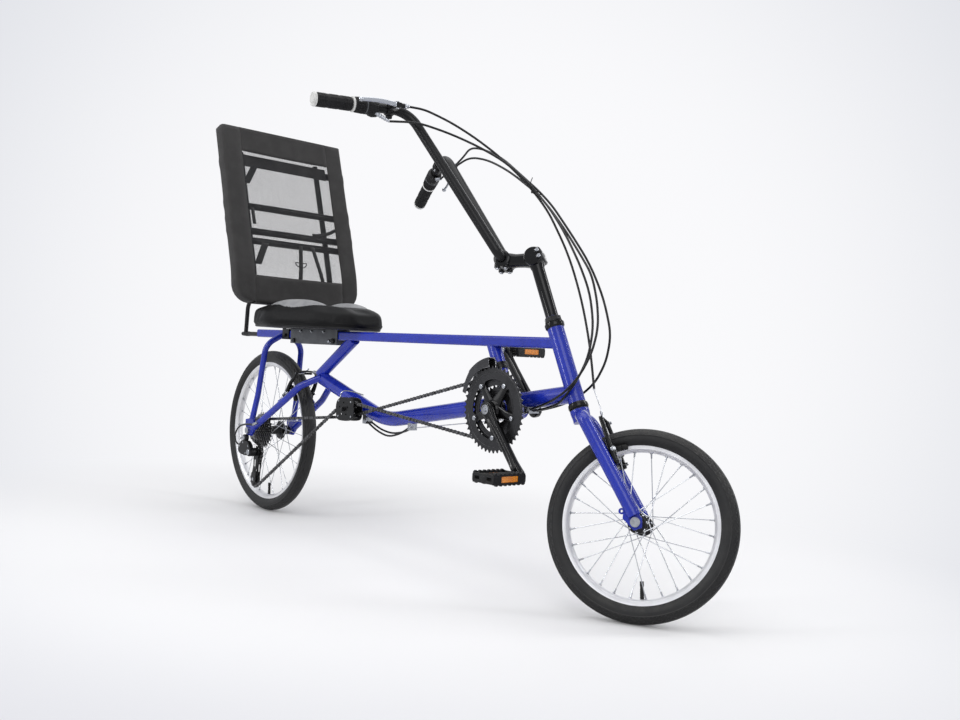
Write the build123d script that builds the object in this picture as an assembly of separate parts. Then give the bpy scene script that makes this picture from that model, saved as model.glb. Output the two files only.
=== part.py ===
from build123d import *
import os
from math import asin, atan2, cos, degrees, hypot, pi, radians, sin, tan

os.makedirs("parts", exist_ok=True)

# Recumbent bicycle. Layout frame, in millimetres: X forward, Y left, Z up, ground at Z = 0
# and the rear axle above X = 0. At the end every node moves so that the rider's seat
# point is the origin.

# ---------------------------------------------------------------- driving dimensions
rear_axle_z = 241.0
rear_tyre_centre_radius = 222.0
front_tyre_centre_radius = 170.5
tyre_half_width = 19.0
rim_half_width = 12.0
rim_depth = 15.0
rear_dropout_gap = 135.0
front_dropout_gap = 100.0
spoke_count = 28
spoke_diameter = 1.9
wheel_axle_diameter = 10.0
axle_nut_length = 8.0
running_clearance = 0.05
hub_flange_thickness = 5.0

# cassette, from the outer, smallest cog inwards
cog_table = (12, 14, 16, 18, 20, 22, 24, 26)
cog_spacing = 4.8
cog_thickness = 2.0
outer_cog_y = -59.0
cassette_hub_gap = 0.1

head_angle = 64.5
fork_offset = 53.0
steer_ground_x = 1443.9
front_axle_up_axis = 183.6
stored_steer_angle = 30.56

head_tube_diameter = 36.0
head_tube_bore = 31.0
steerer_diameter = 28.6
head_tube_start = 456.0
head_tube_end = 626.0
cup_height = 12.0
cup_diameter = 43.0
headset_gap = 0.5

top_tube_width = 34.0
top_tube_height = 24.0
top_tube_z = 534.0
top_tube_rear_x = -83.0
top_tube_front_x = 1190.0
lower_tube_diameter = 38.0
lower_tube_points = ((1240.0, 0, 430.9), (588.0, 0, 320.6), (276.0, 0, 414.2))
lower_tube_bend_radius = 240.0
seat_strut_diameter = 32.0
seat_tube_diameter = 32.0
seat_tube_top = (983.0, 0, 527.0)
seatstay_diameter = 17.0
chainstay_diameter = 19.0
dropout_thickness = 6.0

bottom_bracket_x = 1053.0
bottom_bracket_z = 384.0
bottom_bracket_width = 68.0
bottom_bracket_diameter = 40.0
spindle_diameter = 17.0
crank_length = 170.0
stored_crank_angle = -50.1
crank_inner_y = 66.0
crank_thickness = 13.0

chain_pitch = 12.7
chain_height = 8.4
chain_width = 6.6
chain_gap = 0.4
middle_ring_teeth = 36
engaged_cog_teeth = 16

cushion_top_z = 617.0
cushion_bottom_z = 553.0
cushion_edge_round = 20.0
bracket_wall = 3.5
bracket_front_x = 370.0
bracket_rear_x = 125.0
bracket_bottom_z = 508.0
rider_x = 300.0

back_half_width = 203.0
back_depth = 45.0
back_wall = 4.0
hoop_diameter = 18.0
back_bar_diameter = 20.0
upright_diameter = 17.0
upright_y = 128.0

fork_blade_diameter = 27.0
crown_along = 426.0
# fork blade, from below the crown to the dropout: up the axis, ahead of it, to the right
blade_top = (418.0, 10.0, -44.0)
blade_foot = (196.0, 54.0, -54.0)
stem_shaft_diameter = 28.0
bar_diameter = 22.2
stem_head_along = 790.0
bar_clamp = (1034.0, 0, 705.0)
bar_bend = (785.0, -113.0, 1002.0)
bar_end = (657.0, -288.0, 940.0)
bar_clamp_half = 34.0
grip_diameter = 31.0
grip_length = 84.0
shifter_diameter = 36.0
shifter_length = 58.0

cable_diameter = 5.0
wire_diameter = 2.0


# ---------------------------------------------------------------- shared shapes
def rod(start, end, radius):
    """Straight round bar from one point to another."""
    start = Vector(*start)
    end = Vector(*end)
    bar = Cylinder(radius, (end - start).length, align=(Align.CENTER, Align.CENTER, Align.MIN))
    return Plane(origin=start, z_dir=end - start) * bar


def cross_rod(x, z, y_start, y_end, radius):
    """Round bar lying across the bicycle."""
    return rod((x, y_start, z), (x, y_end, z), radius)


def bent_tube(points, radii, radius):
    """Round tube along straight runs joined by tangent arcs."""
    path = FilletPolyline(*[Vector(*p) for p in points], radius=radii)
    section = Plane(origin=path @ 0, z_dir=path % 0) * Circle(radius)
    return sweep(section, path=path)


def cable(points, diameter):
    """Flexible sleeve along its route, with arcs as large as its runs allow."""
    route = [Vector(*p) for p in points]
    radii = []
    for before, corner, after in zip(route, route[1:], route[2:]):
        half_turn = radians((corner - before).get_angle(after - corner)) / 2
        shorter = min((corner - before).length, (after - corner).length)
        radii.append(0.45 * shorter / tan(half_turn))
    return bent_tube(route, radii, diameter / 2)


def turned(x, z, outline):
    """Ring or disc about a cross axis, from (y, radius) corners."""
    plane = Plane(origin=(x, 0, z), x_dir=(0, 1, 0), z_dir=(1, 0, 0))
    face = make_face(plane * Polyline(*outline, close=True))
    return revolve(face, Axis((x, 0, z), (0, 1, 0)))


def disc(x, z, y_start, y_end, outer, inner=0.0):
    """Flat disc or washer about a cross axis."""
    return turned(x, z, [(y_start, inner), (y_start, outer), (y_end, outer), (y_end, inner)])


def plate(points, y_start, y_end):
    """Flat plate across the bicycle from (x, z) corners."""
    plane = Plane(origin=(0, y_start, 0), x_dir=(1, 0, 0), z_dir=(0, -1, 0))
    face = make_face(plane * Polyline(*points, close=True))
    return extrude(face, amount=y_end - y_start, dir=(0, 1, 0))


def block(x_range, y_range, z_range):
    """Rectangular block between limits."""
    size = [limits[1] - limits[0] for limits in (x_range, y_range, z_range)]
    low = (x_range[0], y_range[0], z_range[0])
    return Pos(*low) * Box(*size, align=(Align.MIN, Align.MIN, Align.MIN))


def mirrored(shape):
    """Left side of a right side, or the reverse."""
    return mirror(shape, about=Plane.XZ)


def both_sides(shape):
    """A shape and its mirror image as one compound."""
    return Compound(children=[*shape.solids(), *mirrored(shape).solids()])


def pitch_radius(teeth):
    """Radius of the circle on which a sprocket's chain pins lie."""
    return chain_pitch / (2 * sin(pi / teeth))


# ---------------------------------------------------------------- steering geometry
head = radians(head_angle)
axis_direction = Vector(-cos(head), 0, sin(head))
axis_normal = Vector(sin(head), 0, cos(head))
axis_ground = Vector(steer_ground_x, 0, 0)
steer_axis = Axis(axis_ground, axis_direction)


def on_axis(along, ahead=0.0, y=0.0):
    """Point given by its distance up the steering axis, ahead of it and to the left."""
    return axis_ground + axis_direction * along + axis_normal * ahead + Vector(0, y, 0)


front_axle = on_axis(front_axle_up_axis, fork_offset)


def steered(point):
    """Place of a point of the straight-ahead steering once it is turned as stored."""
    turned_arm = (Vector(*point) - axis_ground).rotate(steer_axis, stored_steer_angle)
    return axis_ground + turned_arm


# ---------------------------------------------------------------- wheels
tyre_seat_depth = 13.5


def make_tyre(x, z, centre_radius):
    """Tyre about its rim, with corners round its section."""
    seat = centre_radius - tyre_seat_depth
    corners = [(rim_half_width, seat)]
    for angle in (-20, 15, 50, 75, 105, 130, 165, 200):
        y = tyre_half_width * cos(radians(angle))
        corners.append((y, centre_radius + tyre_half_width * sin(radians(angle))))
    corners.append((-rim_half_width, seat))
    return turned(x, z, corners)


def make_rim(x, z, centre_radius):
    """Box-section rim that narrows towards the hub."""
    edge = centre_radius - tyre_seat_depth
    floor_half = rim_half_width * 0.55
    outline = [
        (-rim_half_width, edge),
        (rim_half_width, edge),
        (rim_half_width, edge - rim_depth * 0.6),
        (floor_half, edge - rim_depth),
        (-floor_half, edge - rim_depth),
        (-rim_half_width, edge - rim_depth * 0.6),
    ]
    return turned(x, z, outline)


def make_hub(x, z, gap, flange_places, flange_radius, barrel_radius):
    """Barrel with two flanges, bored for its axle."""
    half = gap / 2 - 6.0
    thickness = hub_flange_thickness
    bore = wheel_axle_diameter / 2 + running_clearance
    hub = disc(x, z, -half, half, barrel_radius, bore)
    for y in flange_places:
        hub = hub + disc(x, z, y - thickness / 2, y + thickness / 2, flange_radius, bore)
    return hub


def make_spokes(x, z, centre_radius, flange_places, flange_radius):
    """Crossed spokes, half leading and half trailing on each flange."""
    rim_floor = centre_radius - tyre_seat_depth - rim_depth
    spokes = []
    for number in range(spoke_count):
        side = number % 2
        lean = 1 if (number // 2) % 2 == 0 else -1
        rim_angle = 2 * pi * number / spoke_count
        hub_angle = rim_angle + lean * radians(68)
        y_hub = flange_places[side] + lean * spoke_diameter * 0.8
        hub_point = (x + flange_radius * cos(hub_angle), y_hub, z + flange_radius * sin(hub_angle))
        y_rim = 3.0 if side else -3.0
        rim_point = (x + rim_floor * cos(rim_angle), y_rim, z + rim_floor * sin(rim_angle))
        spokes.append(rod(hub_point, rim_point, spoke_diameter / 2))
    return spokes


def trimmed(shapes, *cutters):
    """Shapes cut by their neighbours, as one compound."""
    kept = []
    for shape in shapes:
        for cutter in cutters:
            shape = shape - cutter
        kept.extend(shape.solids())
    return Compound(children=kept)


nodes = {}
steered_nodes = {}

inner_cog_face = outer_cog_y + (len(cog_table) - 1) * cog_spacing + cog_thickness / 2
drive_flange_y = inner_cog_face + cassette_hub_gap + hub_flange_thickness / 2
rear_flanges = (drive_flange_y, 34.0)
nodes["rear_tyre"] = make_tyre(0, rear_axle_z, rear_tyre_centre_radius)
nodes["rear_rim"] = make_rim(0, rear_axle_z, rear_tyre_centre_radius)
nodes["rear_hub"] = make_hub(0, rear_axle_z, rear_dropout_gap, rear_flanges, 28.0, 17.0)
rear_spokes = make_spokes(0, rear_axle_z, rear_tyre_centre_radius, rear_flanges, 28.0)
nodes["rear_spokes"] = trimmed(rear_spokes, nodes["rear_hub"], nodes["rear_rim"])

front_flanges = (-32.0, 32.0)
front_x = front_axle.X
front_z = front_axle.Z
steered_nodes["front_tyre"] = make_tyre(front_x, front_z, front_tyre_centre_radius)
steered_nodes["front_rim"] = make_rim(front_x, front_z, front_tyre_centre_radius)
front_hub = make_hub(front_x, front_z, front_dropout_gap, front_flanges, 20.0, 14.0)
steered_nodes["front_hub"] = front_hub
front_spokes = make_spokes(front_x, front_z, front_tyre_centre_radius, front_flanges, 20.0)
steered_nodes["front_spokes"] = trimmed(front_spokes, front_hub, steered_nodes["front_rim"])

cassette_bore_radius = 8.0
cassette_core_radius = 15.8
cassette_outer_face = outer_cog_y - cog_thickness / 2 - 0.5
cassette = disc(
    0, rear_axle_z, cassette_outer_face, inner_cog_face, cassette_core_radius, cassette_bore_radius
)
engaged_cog_y = 0.0
for place, teeth in enumerate(cog_table):
    y = outer_cog_y + place * cog_spacing
    radius = pitch_radius(teeth) + 2.0
    if teeth == engaged_cog_teeth:
        engaged_cog_y = y
        radius = pitch_radius(teeth) - chain_height / 2 - chain_gap
    cassette = cassette + disc(
        0, rear_axle_z, y - cog_thickness / 2, y + cog_thickness / 2, radius, cassette_bore_radius
    )
nodes["cassette"] = cassette - nodes["rear_hub"]

# ---------------------------------------------------------------- frame
head_bottom = on_axis(head_tube_start)
head_top = on_axis(head_tube_end)
head_outer = rod(head_bottom, head_top, head_tube_diameter / 2)
head_bore = rod(on_axis(head_tube_start - 50), on_axis(head_tube_end + 50), head_tube_bore / 2)
nodes["head_tube"] = head_outer - head_bore

cup_bore_start = on_axis(head_tube_start - 2 * cup_height)
cup_bore_end = on_axis(head_tube_end + 2 * cup_height)
cup_bore = rod(cup_bore_start, cup_bore_end, steerer_diameter / 2 + running_clearance)
lower_cup = rod(on_axis(head_tube_start - cup_height), head_bottom, cup_diameter / 2)
upper_cup = rod(head_top, on_axis(head_tube_end + cup_height), cup_diameter / 2)
cups = [(lower_cup - cup_bore).solid(), (upper_cup - cup_bore).solid()]
nodes["headset_cups"] = Compound(children=cups)

half_width = top_tube_width / 2
half_height = top_tube_height / 2
top_tube = block(
    (top_tube_rear_x, top_tube_front_x),
    (-half_width, half_width),
    (top_tube_z - half_height, top_tube_z + half_height),
)
top_tube = fillet(top_tube.edges().filter_by(Axis.X), 5.0)
nodes["top_tube"] = (top_tube - head_outer).solids().sort_by(Axis.X)[0]

lower_tube = bent_tube(lower_tube_points, [lower_tube_bend_radius], lower_tube_diameter / 2)
shell_half = bottom_bracket_width / 2
shell = cross_rod(
    bottom_bracket_x, bottom_bracket_z, -shell_half, shell_half, bottom_bracket_diameter / 2
)
lower_tube = (lower_tube - head_outer).solids().sort_by(Axis.X)[0]
lower_tube_solid = lower_tube
nodes["lower_tube"] = lower_tube - shell
shell_bore = cross_rod(
    bottom_bracket_x,
    bottom_bracket_z,
    -bottom_bracket_width,
    bottom_bracket_width,
    spindle_diameter / 2 + running_clearance,
)
nodes["bottom_bracket_shell"] = shell - shell_bore
nodes["lower_tube"] = nodes["lower_tube"].solids().sort_by(SortBy.VOLUME)[-1]

seat_strut = rod((268, 0, 424), (425, 0, 526), seat_strut_diameter / 2)
nodes["seat_strut"] = (seat_strut - top_tube - lower_tube_solid).solids().sort_by(SortBy.VOLUME)[-1]
seat_tube_foot = (bottom_bracket_x, 0, bottom_bracket_z)
seat_tube = rod(seat_tube_top, seat_tube_foot, seat_tube_diameter / 2)
seat_tube = (seat_tube - top_tube - lower_tube_solid - shell).solids().sort_by(SortBy.VOLUME)[-1]
nodes["seat_tube"] = seat_tube

inner_y = rear_dropout_gap / 2
dropout_points = [
    (-14, 226),
    (14, 226),
    (30, 244),
    (38, 262),
    (26, 268),
    (22, 292),
    (8, 292),
    (0, 277),
    (-22, 273),
    (-22, 257),
    (-16, 246),
]
right_dropout = plate(dropout_points, -inner_y - dropout_thickness, -inner_y)
axle_slot = cross_rod(0, rear_axle_z, -90, 90, wheel_axle_diameter / 2)
right_dropout = right_dropout - axle_slot
eyelet_diameter = 5.0
eyelet_at = (-14.0, 265.0)
right_dropout = right_dropout - cross_rod(eyelet_at[0], eyelet_at[1], -90, 90, eyelet_diameter / 2)

stay_y = inner_y + dropout_thickness / 2
chainstay_points = [
    (22, -stay_y, 250),
    (182, -62, 344),
    (240, -50, 388),
    (288, -12, 416),
]
chainstay = bent_tube(chainstay_points, [120.0, 50.0], chainstay_diameter / 2)
chainstay = chainstay - lower_tube_solid - nodes["seat_strut"] - right_dropout
chainstay = chainstay.solids().sort_by(SortBy.VOLUME)[-1]
seatstay_points = [
    (14, -stay_y, 278),
    (32, -66, 350),
    (54, -60, 500),
    (66, -8, 534),
]
seatstay = bent_tube(seatstay_points, [150.0, 50.0], seatstay_diameter / 2)
seatstay = (seatstay - top_tube - right_dropout).solids().sort_by(SortBy.VOLUME)[-1]
nodes["chainstays"] = both_sides(chainstay)
nodes["seatstays"] = both_sides(seatstay)
nodes["rear_dropouts"] = both_sides(right_dropout)


def make_axle(x, z, dropout_y):
    """Wheel axle with a cone nut inside and a nut outside each dropout."""
    outer_y = dropout_y + dropout_thickness
    axle = cross_rod(x, z, -outer_y - axle_nut_length, outer_y + axle_nut_length, wheel_axle_diameter / 2)
    for sign in (-1, 1):
        inside = sorted((sign * (dropout_y - 5.0), sign * dropout_y))
        outside = sorted((sign * outer_y, sign * (outer_y + axle_nut_length)))
        axle = axle + disc(x, z, inside[0], inside[1], 8.5) + disc(x, z, outside[0], outside[1], 9.5)
    return axle


nodes["rear_axle"] = make_axle(0, rear_axle_z, inner_y)

# ---------------------------------------------------------------- crankset
spindle = cross_rod(bottom_bracket_x, bottom_bracket_z, -crank_inner_y, crank_inner_y, spindle_diameter / 2)
nodes["crank_spindle"] = spindle
ring_spacing = 7.6
middle_ring_y = -48.0
ring_thickness = 2.4
outer_ring_teeth = 46
# chainrings: teeth, steps outwards from the middle ring, inner radius
ring_table = (
    (outer_ring_teeth, 1, 60.0),
    (middle_ring_teeth, 0, 52.0),
    (26, -1, 24.0),
)
rings = []
for teeth, step, inner in ring_table:
    y = middle_ring_y - step * ring_spacing
    radius = pitch_radius(teeth) + 2.4
    if teeth == middle_ring_teeth:
        radius = pitch_radius(teeth) - chain_height / 2 - chain_gap
    ring_faces = (y - ring_thickness / 2, y + ring_thickness / 2)
    rings.append(disc(bottom_bracket_x, bottom_bracket_z, *ring_faces, radius, inner))

spider_y = middle_ring_y - ring_spacing / 2
spider = disc(bottom_bracket_x, bottom_bracket_z, -58.5, -38.0, 24.0, spindle_diameter / 2)
for number in range(5):
    angle = radians(stored_crank_angle + 36 + 72 * number)
    direction = Vector(cos(angle), 0, sin(angle))
    arm_start = Vector(bottom_bracket_x, spider_y, bottom_bracket_z) + direction * 12
    arm_end = Vector(bottom_bracket_x, spider_y, bottom_bracket_z) + direction * 62
    arm = rod(arm_start, arm_end, 2.4)
    bolt = cross_rod(arm_end.X, arm_end.Z, -57.0, -46.6, 4.0)
    spider = spider + arm + bolt
nodes["chainring_spider"] = spider
nodes["chainrings"] = trimmed(rings, spider)


def crank_arm(side):
    """Forged arm from the spindle to the pedal; side is -1 right and 1 left."""
    angle = radians(stored_crank_angle) + (pi if side > 0 else 0)
    along = Vector(cos(angle), 0, sin(angle))
    across = Vector(-sin(angle), 0, cos(angle))
    centre = Vector(bottom_bracket_x, 0, bottom_bracket_z)
    corners = []
    for distance, half in ((0, 15), (crank_length, 11)):
        corners.append(centre + along * distance + across * half)
        corners.insert(0, centre + along * distance - across * half)
    outline = [(corner.X, corner.Z) for corner in (corners[1], corners[0], corners[3], corners[2])]
    y_start = side * crank_inner_y
    y_end = side * (crank_inner_y + crank_thickness)
    low, high = sorted((y_start, y_end))
    arm = plate(outline, low, high)
    arm = arm + disc(centre.X, centre.Z, low, high, 18.0)
    eye = centre + along * crank_length
    return arm + disc(eye.X, eye.Z, low, high, 14.0), eye


right_arm, right_eye = crank_arm(-1)
left_arm, left_eye = crank_arm(1)
pedal_axle_diameter = 14.0
pedal_bore = pedal_axle_diameter / 2 + running_clearance
arms = []
for arm, eye in ((right_arm, right_eye), (left_arm, left_eye)):
    arms.append((arm - cross_rod(eye.X, eye.Z, -100, 100, pedal_bore)).solid())
nodes["crank_arms"] = Compound(children=arms)

pedal_gap = 6.0
pedal_width = 90.0
pedal_length = 66.0
pedal_height = 26.0


def pedal(side, eye):
    """Platform pedal with its own axle through the crank eye."""
    start = crank_inner_y + crank_thickness + pedal_gap
    y_range = sorted((side * start, side * (start + pedal_width)))
    x_range = (eye.X - pedal_length / 2, eye.X + pedal_length / 2)
    body = block(x_range, y_range, (eye.Z - pedal_height / 2, eye.Z + pedal_height / 2))
    body = fillet(body.edges().filter_by(Axis.Y), 7.0)
    for sign in (-1, 1):
        gap_x = sorted((eye.X + sign * 10, eye.X + sign * (pedal_length / 2 - 6)))
        gap_y = (y_range[0] + 8, y_range[1] - 8)
        body = body - block(gap_x, gap_y, (eye.Z - 40, eye.Z + 40))
    axle = sorted((side * (crank_inner_y + 1), side * (start + 5)))
    return body + cross_rod(eye.X, eye.Z, axle[0], axle[1], pedal_axle_diameter / 2)


nodes["right_pedal"] = pedal(-1, right_eye)
nodes["left_pedal"] = pedal(1, left_eye)

# ---------------------------------------------------------------- chain and its guides
idler_x = 485.0
idler_z = 342.0
idler_teeth = 10
power_idler_y = -44.0
return_idler_y = -55.0
jockey_teeth = 11
guide_jockey = (22.0, 176.0)
tension_jockey = (12.0, 96.0)
# wheels in the order of the chain's travel: x, z, y, pitch radius, turn (1 clockwise from the right)
chain_wheels = (
    (0.0, rear_axle_z, engaged_cog_y, pitch_radius(engaged_cog_teeth), 1),
    (idler_x, idler_z, power_idler_y, pitch_radius(idler_teeth), -1),
    (bottom_bracket_x, bottom_bracket_z, middle_ring_y, pitch_radius(middle_ring_teeth), 1),
    (idler_x, idler_z, return_idler_y, pitch_radius(idler_teeth), -1),
    (tension_jockey[0], tension_jockey[1], engaged_cog_y, pitch_radius(jockey_teeth), 1),
    (guide_jockey[0], guide_jockey[1], engaged_cog_y, pitch_radius(jockey_teeth), -1),
)


def run_heading(first, second):
    """Heading of the straight run between two wheels of the chain."""
    across = atan2(second[1] - first[1], second[0] - first[0])
    apart = hypot(second[0] - first[0], second[1] - first[1])
    return across - asin((first[4] * first[3] - second[4] * second[3]) / apart)


def touch_point(wheel, heading):
    """Point where a run leaves or meets the pitch circle of a wheel."""
    angle = heading + wheel[4] * pi / 2
    return Vector(wheel[0] + wheel[3] * cos(angle), wheel[2], wheel[1] + wheel[3] * sin(angle)), angle


def chain_section(point, angle):
    """Cross-section of the chain, radial to the wheel it touches."""
    plane = Plane(origin=point, x_dir=(0, 1, 0), z_dir=(-sin(angle), 0, cos(angle)))
    return plane * Rectangle(chain_width, chain_height)


count = len(chain_wheels)
headings = [run_heading(chain_wheels[i], chain_wheels[(i + 1) % count]) for i in range(count)]
chain_pieces = []
for i, wheel in enumerate(chain_wheels):
    following = chain_wheels[(i + 1) % count]
    start, start_angle = touch_point(wheel, headings[i])
    end, end_angle = touch_point(following, headings[i])
    chain_pieces.append(Solid.extrude(chain_section(start, start_angle).face(), end - start))
    wrap_start, wrap_angle = touch_point(wheel, headings[i - 1])
    turn = (headings[i - 1] - headings[i]) * wheel[4] % (2 * pi)
    centre = (wheel[0], wheel[2], wheel[1])
    axis = Axis(centre, (0, wheel[4], 0))
    chain_pieces.append(revolve(chain_section(wrap_start, wrap_angle), axis, degrees(turn)))
chain = chain_pieces[0]
for piece in chain_pieces[1:]:
    chain = chain + piece
nodes["chain"] = chain

pulley_root = pitch_radius(idler_teeth) - chain_height / 2 - chain_gap
idler_spacers = disc(idler_x, idler_z, -61.5, -37.5, 8.0, 4.0)
for y in (power_idler_y, return_idler_y):
    idler_spacers = idler_spacers + disc(idler_x, idler_z, y - 2.5, y + 2.5, pulley_root, 4.0)
pulleys = [idler_spacers.solid()]
guard_outline = [
    (452, 318),
    (468, 310),
    (522, 314),
    (532, 330),
    (528, 362),
    (514, 374),
    (466, 372),
    (448, 356),
]
idler_bolt_hole = cross_rod(idler_x, idler_z, -80, 0, 4.0)
guards = []
for y in (-64.0, -37.5):
    guards.append((plate(guard_outline, y, y + 2.5) - idler_bolt_hole).solid())
idler_bracket = cross_rod(idler_x, idler_z, -70, -15, 4.0) + cross_rod(idler_x, idler_z, -35, -10, 9.0)
idler_bracket = idler_bracket + disc(idler_x, idler_z, -72.0, -64.0, 7.0)
idler_bracket = (idler_bracket - lower_tube_solid).solids().sort_by(SortBy.VOLUME)[-1]
nodes["idler_bracket"] = idler_bracket + guards[0] + guards[1]

# rear derailleur: hanger bolt, slanted body, cage plates and two jockey wheels
jockey_root = pitch_radius(jockey_teeth) - chain_height / 2 - chain_gap
for x, z in (guide_jockey, tension_jockey):
    pulleys.append(disc(x, z, engaged_cog_y - 2.5, engaged_cog_y + 2.5, jockey_root, 3.0).solid())
nodes["chain_pulleys"] = Compound(children=pulleys)
cage_outline = [(6, 186), (28, 192), (38, 180), (34, 160), (26, 100), (18, 84), (4, 84), (-2, 98), (6, 140)]
cage = plate(cage_outline, engaged_cog_y - 8.5, engaged_cog_y - 6.0)
inner_cage = plate(cage_outline, engaged_cog_y + 6.0, engaged_cog_y + 8.5)
for x, z in (guide_jockey, tension_jockey):
    cage = cage + cross_rod(x, z, engaged_cog_y - 8.5, engaged_cog_y + 8.5, 3.0)
derailleur_cage = cage + inner_cage
hanger_y = -inner_y - dropout_thickness
body_outline = [(-46, 176), (-20, 166), (20, 168), (30, 186), (10, 210), (-14, 214), (-40, 200)]
derailleur_body = plate(body_outline, engaged_cog_y - 34.0, engaged_cog_y - 8.5)
knuckle = cross_rod(-4, 220, hanger_y - 13, hanger_y, 10.0)
nodes["rear_derailleur"] = derailleur_body + knuckle + derailleur_cage

# front derailleur: clamp on the seat tube, link and a curved two-plate cage
shell_centre = Vector(bottom_bracket_x, 0, bottom_bracket_z)
cage_inner_radius = pitch_radius(outer_ring_teeth) + 6.0
cage_outer_radius = cage_inner_radius + 14.0
cage_plate_thickness = 2.0
cage_outer_y = middle_ring_y - ring_spacing - ring_thickness / 2 - 1.8
cage_inner_y = cage_outer_y + 18.0


def cage_plate(y_start, y_end, inner, outer, start_angle, sweep_angle):
    """Curved plate about the bottom bracket."""
    start = radians(start_angle)
    plane = Plane(origin=shell_centre, x_dir=(0, 1, 0), z_dir=(-sin(start), 0, cos(start)))
    middle = (inner + outer) / 2
    place = plane * Pos((y_start + y_end) / 2, -middle, 0)
    section = place * Rectangle(abs(y_end - y_start), outer - inner)
    return revolve(section, Axis(shell_centre, (0, -1, 0)), sweep_angle)


cage_start = 100.0
cage_sweep = 62.0
web_sweep = 36.0
plate_inner_radius = cage_inner_radius - 6.0
outer_plate_face = cage_outer_y - cage_plate_thickness
inner_plate_face = cage_inner_y + cage_plate_thickness
front_cage = cage_plate(
    outer_plate_face, cage_outer_y, plate_inner_radius, cage_outer_radius, cage_start, cage_sweep
)
front_cage = front_cage + cage_plate(
    cage_inner_y, inner_plate_face, plate_inner_radius, cage_outer_radius, cage_start, cage_sweep
)
front_cage = front_cage + cage_plate(
    outer_plate_face, inner_plate_face, cage_outer_radius, cage_outer_radius + 2, cage_start, web_sweep
)
nodes["front_derailleur_cage"] = front_cage

clamp_along = 0.36
clamp_width = 16.0
tube_run = Vector(*seat_tube_foot) - Vector(*seat_tube_top)
clamp_centre = Vector(*seat_tube_top) + tube_run * clamp_along
clamp_half = tube_run.normalized() * (clamp_width / 2)
clamp_outer = rod(clamp_centre - clamp_half, clamp_centre + clamp_half, seat_tube_diameter / 2 + 3.5)
link_at = shell_centre + Vector(cos(radians(134)), 0, sin(radians(134))) * (cage_outer_radius - 7.0)
link = block(
    (link_at.X - 9, link_at.X + 9),
    (inner_plate_face, -seat_tube_diameter / 2 + 2),
    (link_at.Z - 6, link_at.Z + 12),
)
arm = rod((link_at.X, inner_plate_face + 8, link_at.Z), (clamp_centre.X, -14, clamp_centre.Z), 7.0)
derailleur_clamp = clamp_outer + arm + link - rod(seat_tube_top, seat_tube_foot, seat_tube_diameter / 2)
nodes["front_derailleur_body"] = derailleur_clamp.solids().sort_by(SortBy.VOLUME)[-1]

# ---------------------------------------------------------------- seat
bracket_half = half_width + bracket_wall
tube_top_z = top_tube_z + half_height
bracket_top_z = tube_top_z + bracket_wall
bracket = block(
    (bracket_rear_x, bracket_front_x), (-bracket_half, bracket_half), (bracket_bottom_z, bracket_top_z)
)
bracket = bracket - block(
    (bracket_rear_x - 9, bracket_front_x + 9), (-half_width, half_width), (bracket_bottom_z - 9, tube_top_z)
)
nodes["seat_bracket"] = bracket - nodes["seat_strut"]

# plan of the seat, from the rear: x, half width, corner radius
cushion_plan = (
    (95.0, 145.0, 42.0),
    (230.0, 168.0, 120.0),
    (385.0, 118.0, 120.0),
    (482.0, 62.0, 50.0),
)
left_plan = [(x, y) for x, y, radius in cushion_plan]
plan_points = left_plan + [(x, -y) for x, y in reversed(left_plan)]


def cushion_solid(bottom, top, shrink):
    """Plan of the seat, rounded at its corners, between two heights."""
    face = make_face(Plane.XY.offset(bottom) * Polyline(*plan_points, close=True))
    for x, y, radius in cushion_plan:
        corners = [face.vertices().sort_by_distance((x, side * y, bottom))[0] for side in (-1, 1)]
        face = fillet(corners, radius)
    if shrink:
        face = offset(face, amount=-shrink)
    return extrude(face, amount=top - bottom, dir=(0, 0, 1))


cushion = cushion_solid(cushion_bottom_z, cushion_top_z, 0.0)
top_edges = cushion.edges().group_by(Axis.Z)[-1]
nodes["seat_cushion"] = fillet(top_edges, cushion_edge_round)
nodes["seat_pan"] = cushion_solid(bracket_top_z, cushion_bottom_z, 12.0)

# backrest profile in the x-z plane: bottom, bend, top of its front face
back_profile = ((139.5, 621.0), (128.0, 712.0), (-13.0, 1135.0))
back_bend_radius = 300.0


def behind(distance):
    """The backrest profile moved back by a distance."""
    low, bend, high = (Vector(x, 0, z) for x, z in back_profile)
    lower = (bend - low).normalized()
    upper = (high - bend).normalized()
    lower_normal = Vector(-lower.Z, 0, lower.X)
    upper_normal = Vector(-upper.Z, 0, upper.X)
    middle = (lower_normal + upper_normal).normalized()
    reach = distance / middle.dot(lower_normal)
    return [low + lower_normal * distance, bend + middle * reach, high + upper_normal * distance]


def back_strip(near, far, half_width, end_gap):
    """Bent slab between two depths behind the front face."""
    front = behind(near)
    rear = behind(far)
    lower = (front[1] - front[0]).normalized() * end_gap
    upper = (front[2] - front[1]).normalized() * end_gap
    outline = [front[0] + lower, front[1], front[2] - upper, rear[2] - upper, rear[1], rear[0] + lower]
    plane = Plane(origin=(0, -half_width, 0), x_dir=(1, 0, 0), z_dir=(0, -1, 0))
    face = make_face(plane * Polyline(*[(p.X, p.Z) for p in outline], close=True))
    return extrude(face, amount=2 * half_width, dir=(0, 1, 0))


sling = back_strip(0.0, back_depth, back_half_width, 0.0)
sling = sling - back_strip(back_wall, back_depth + 30.0, back_half_width - back_wall, back_wall)
nodes["seat_back_sling"] = sling

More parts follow.
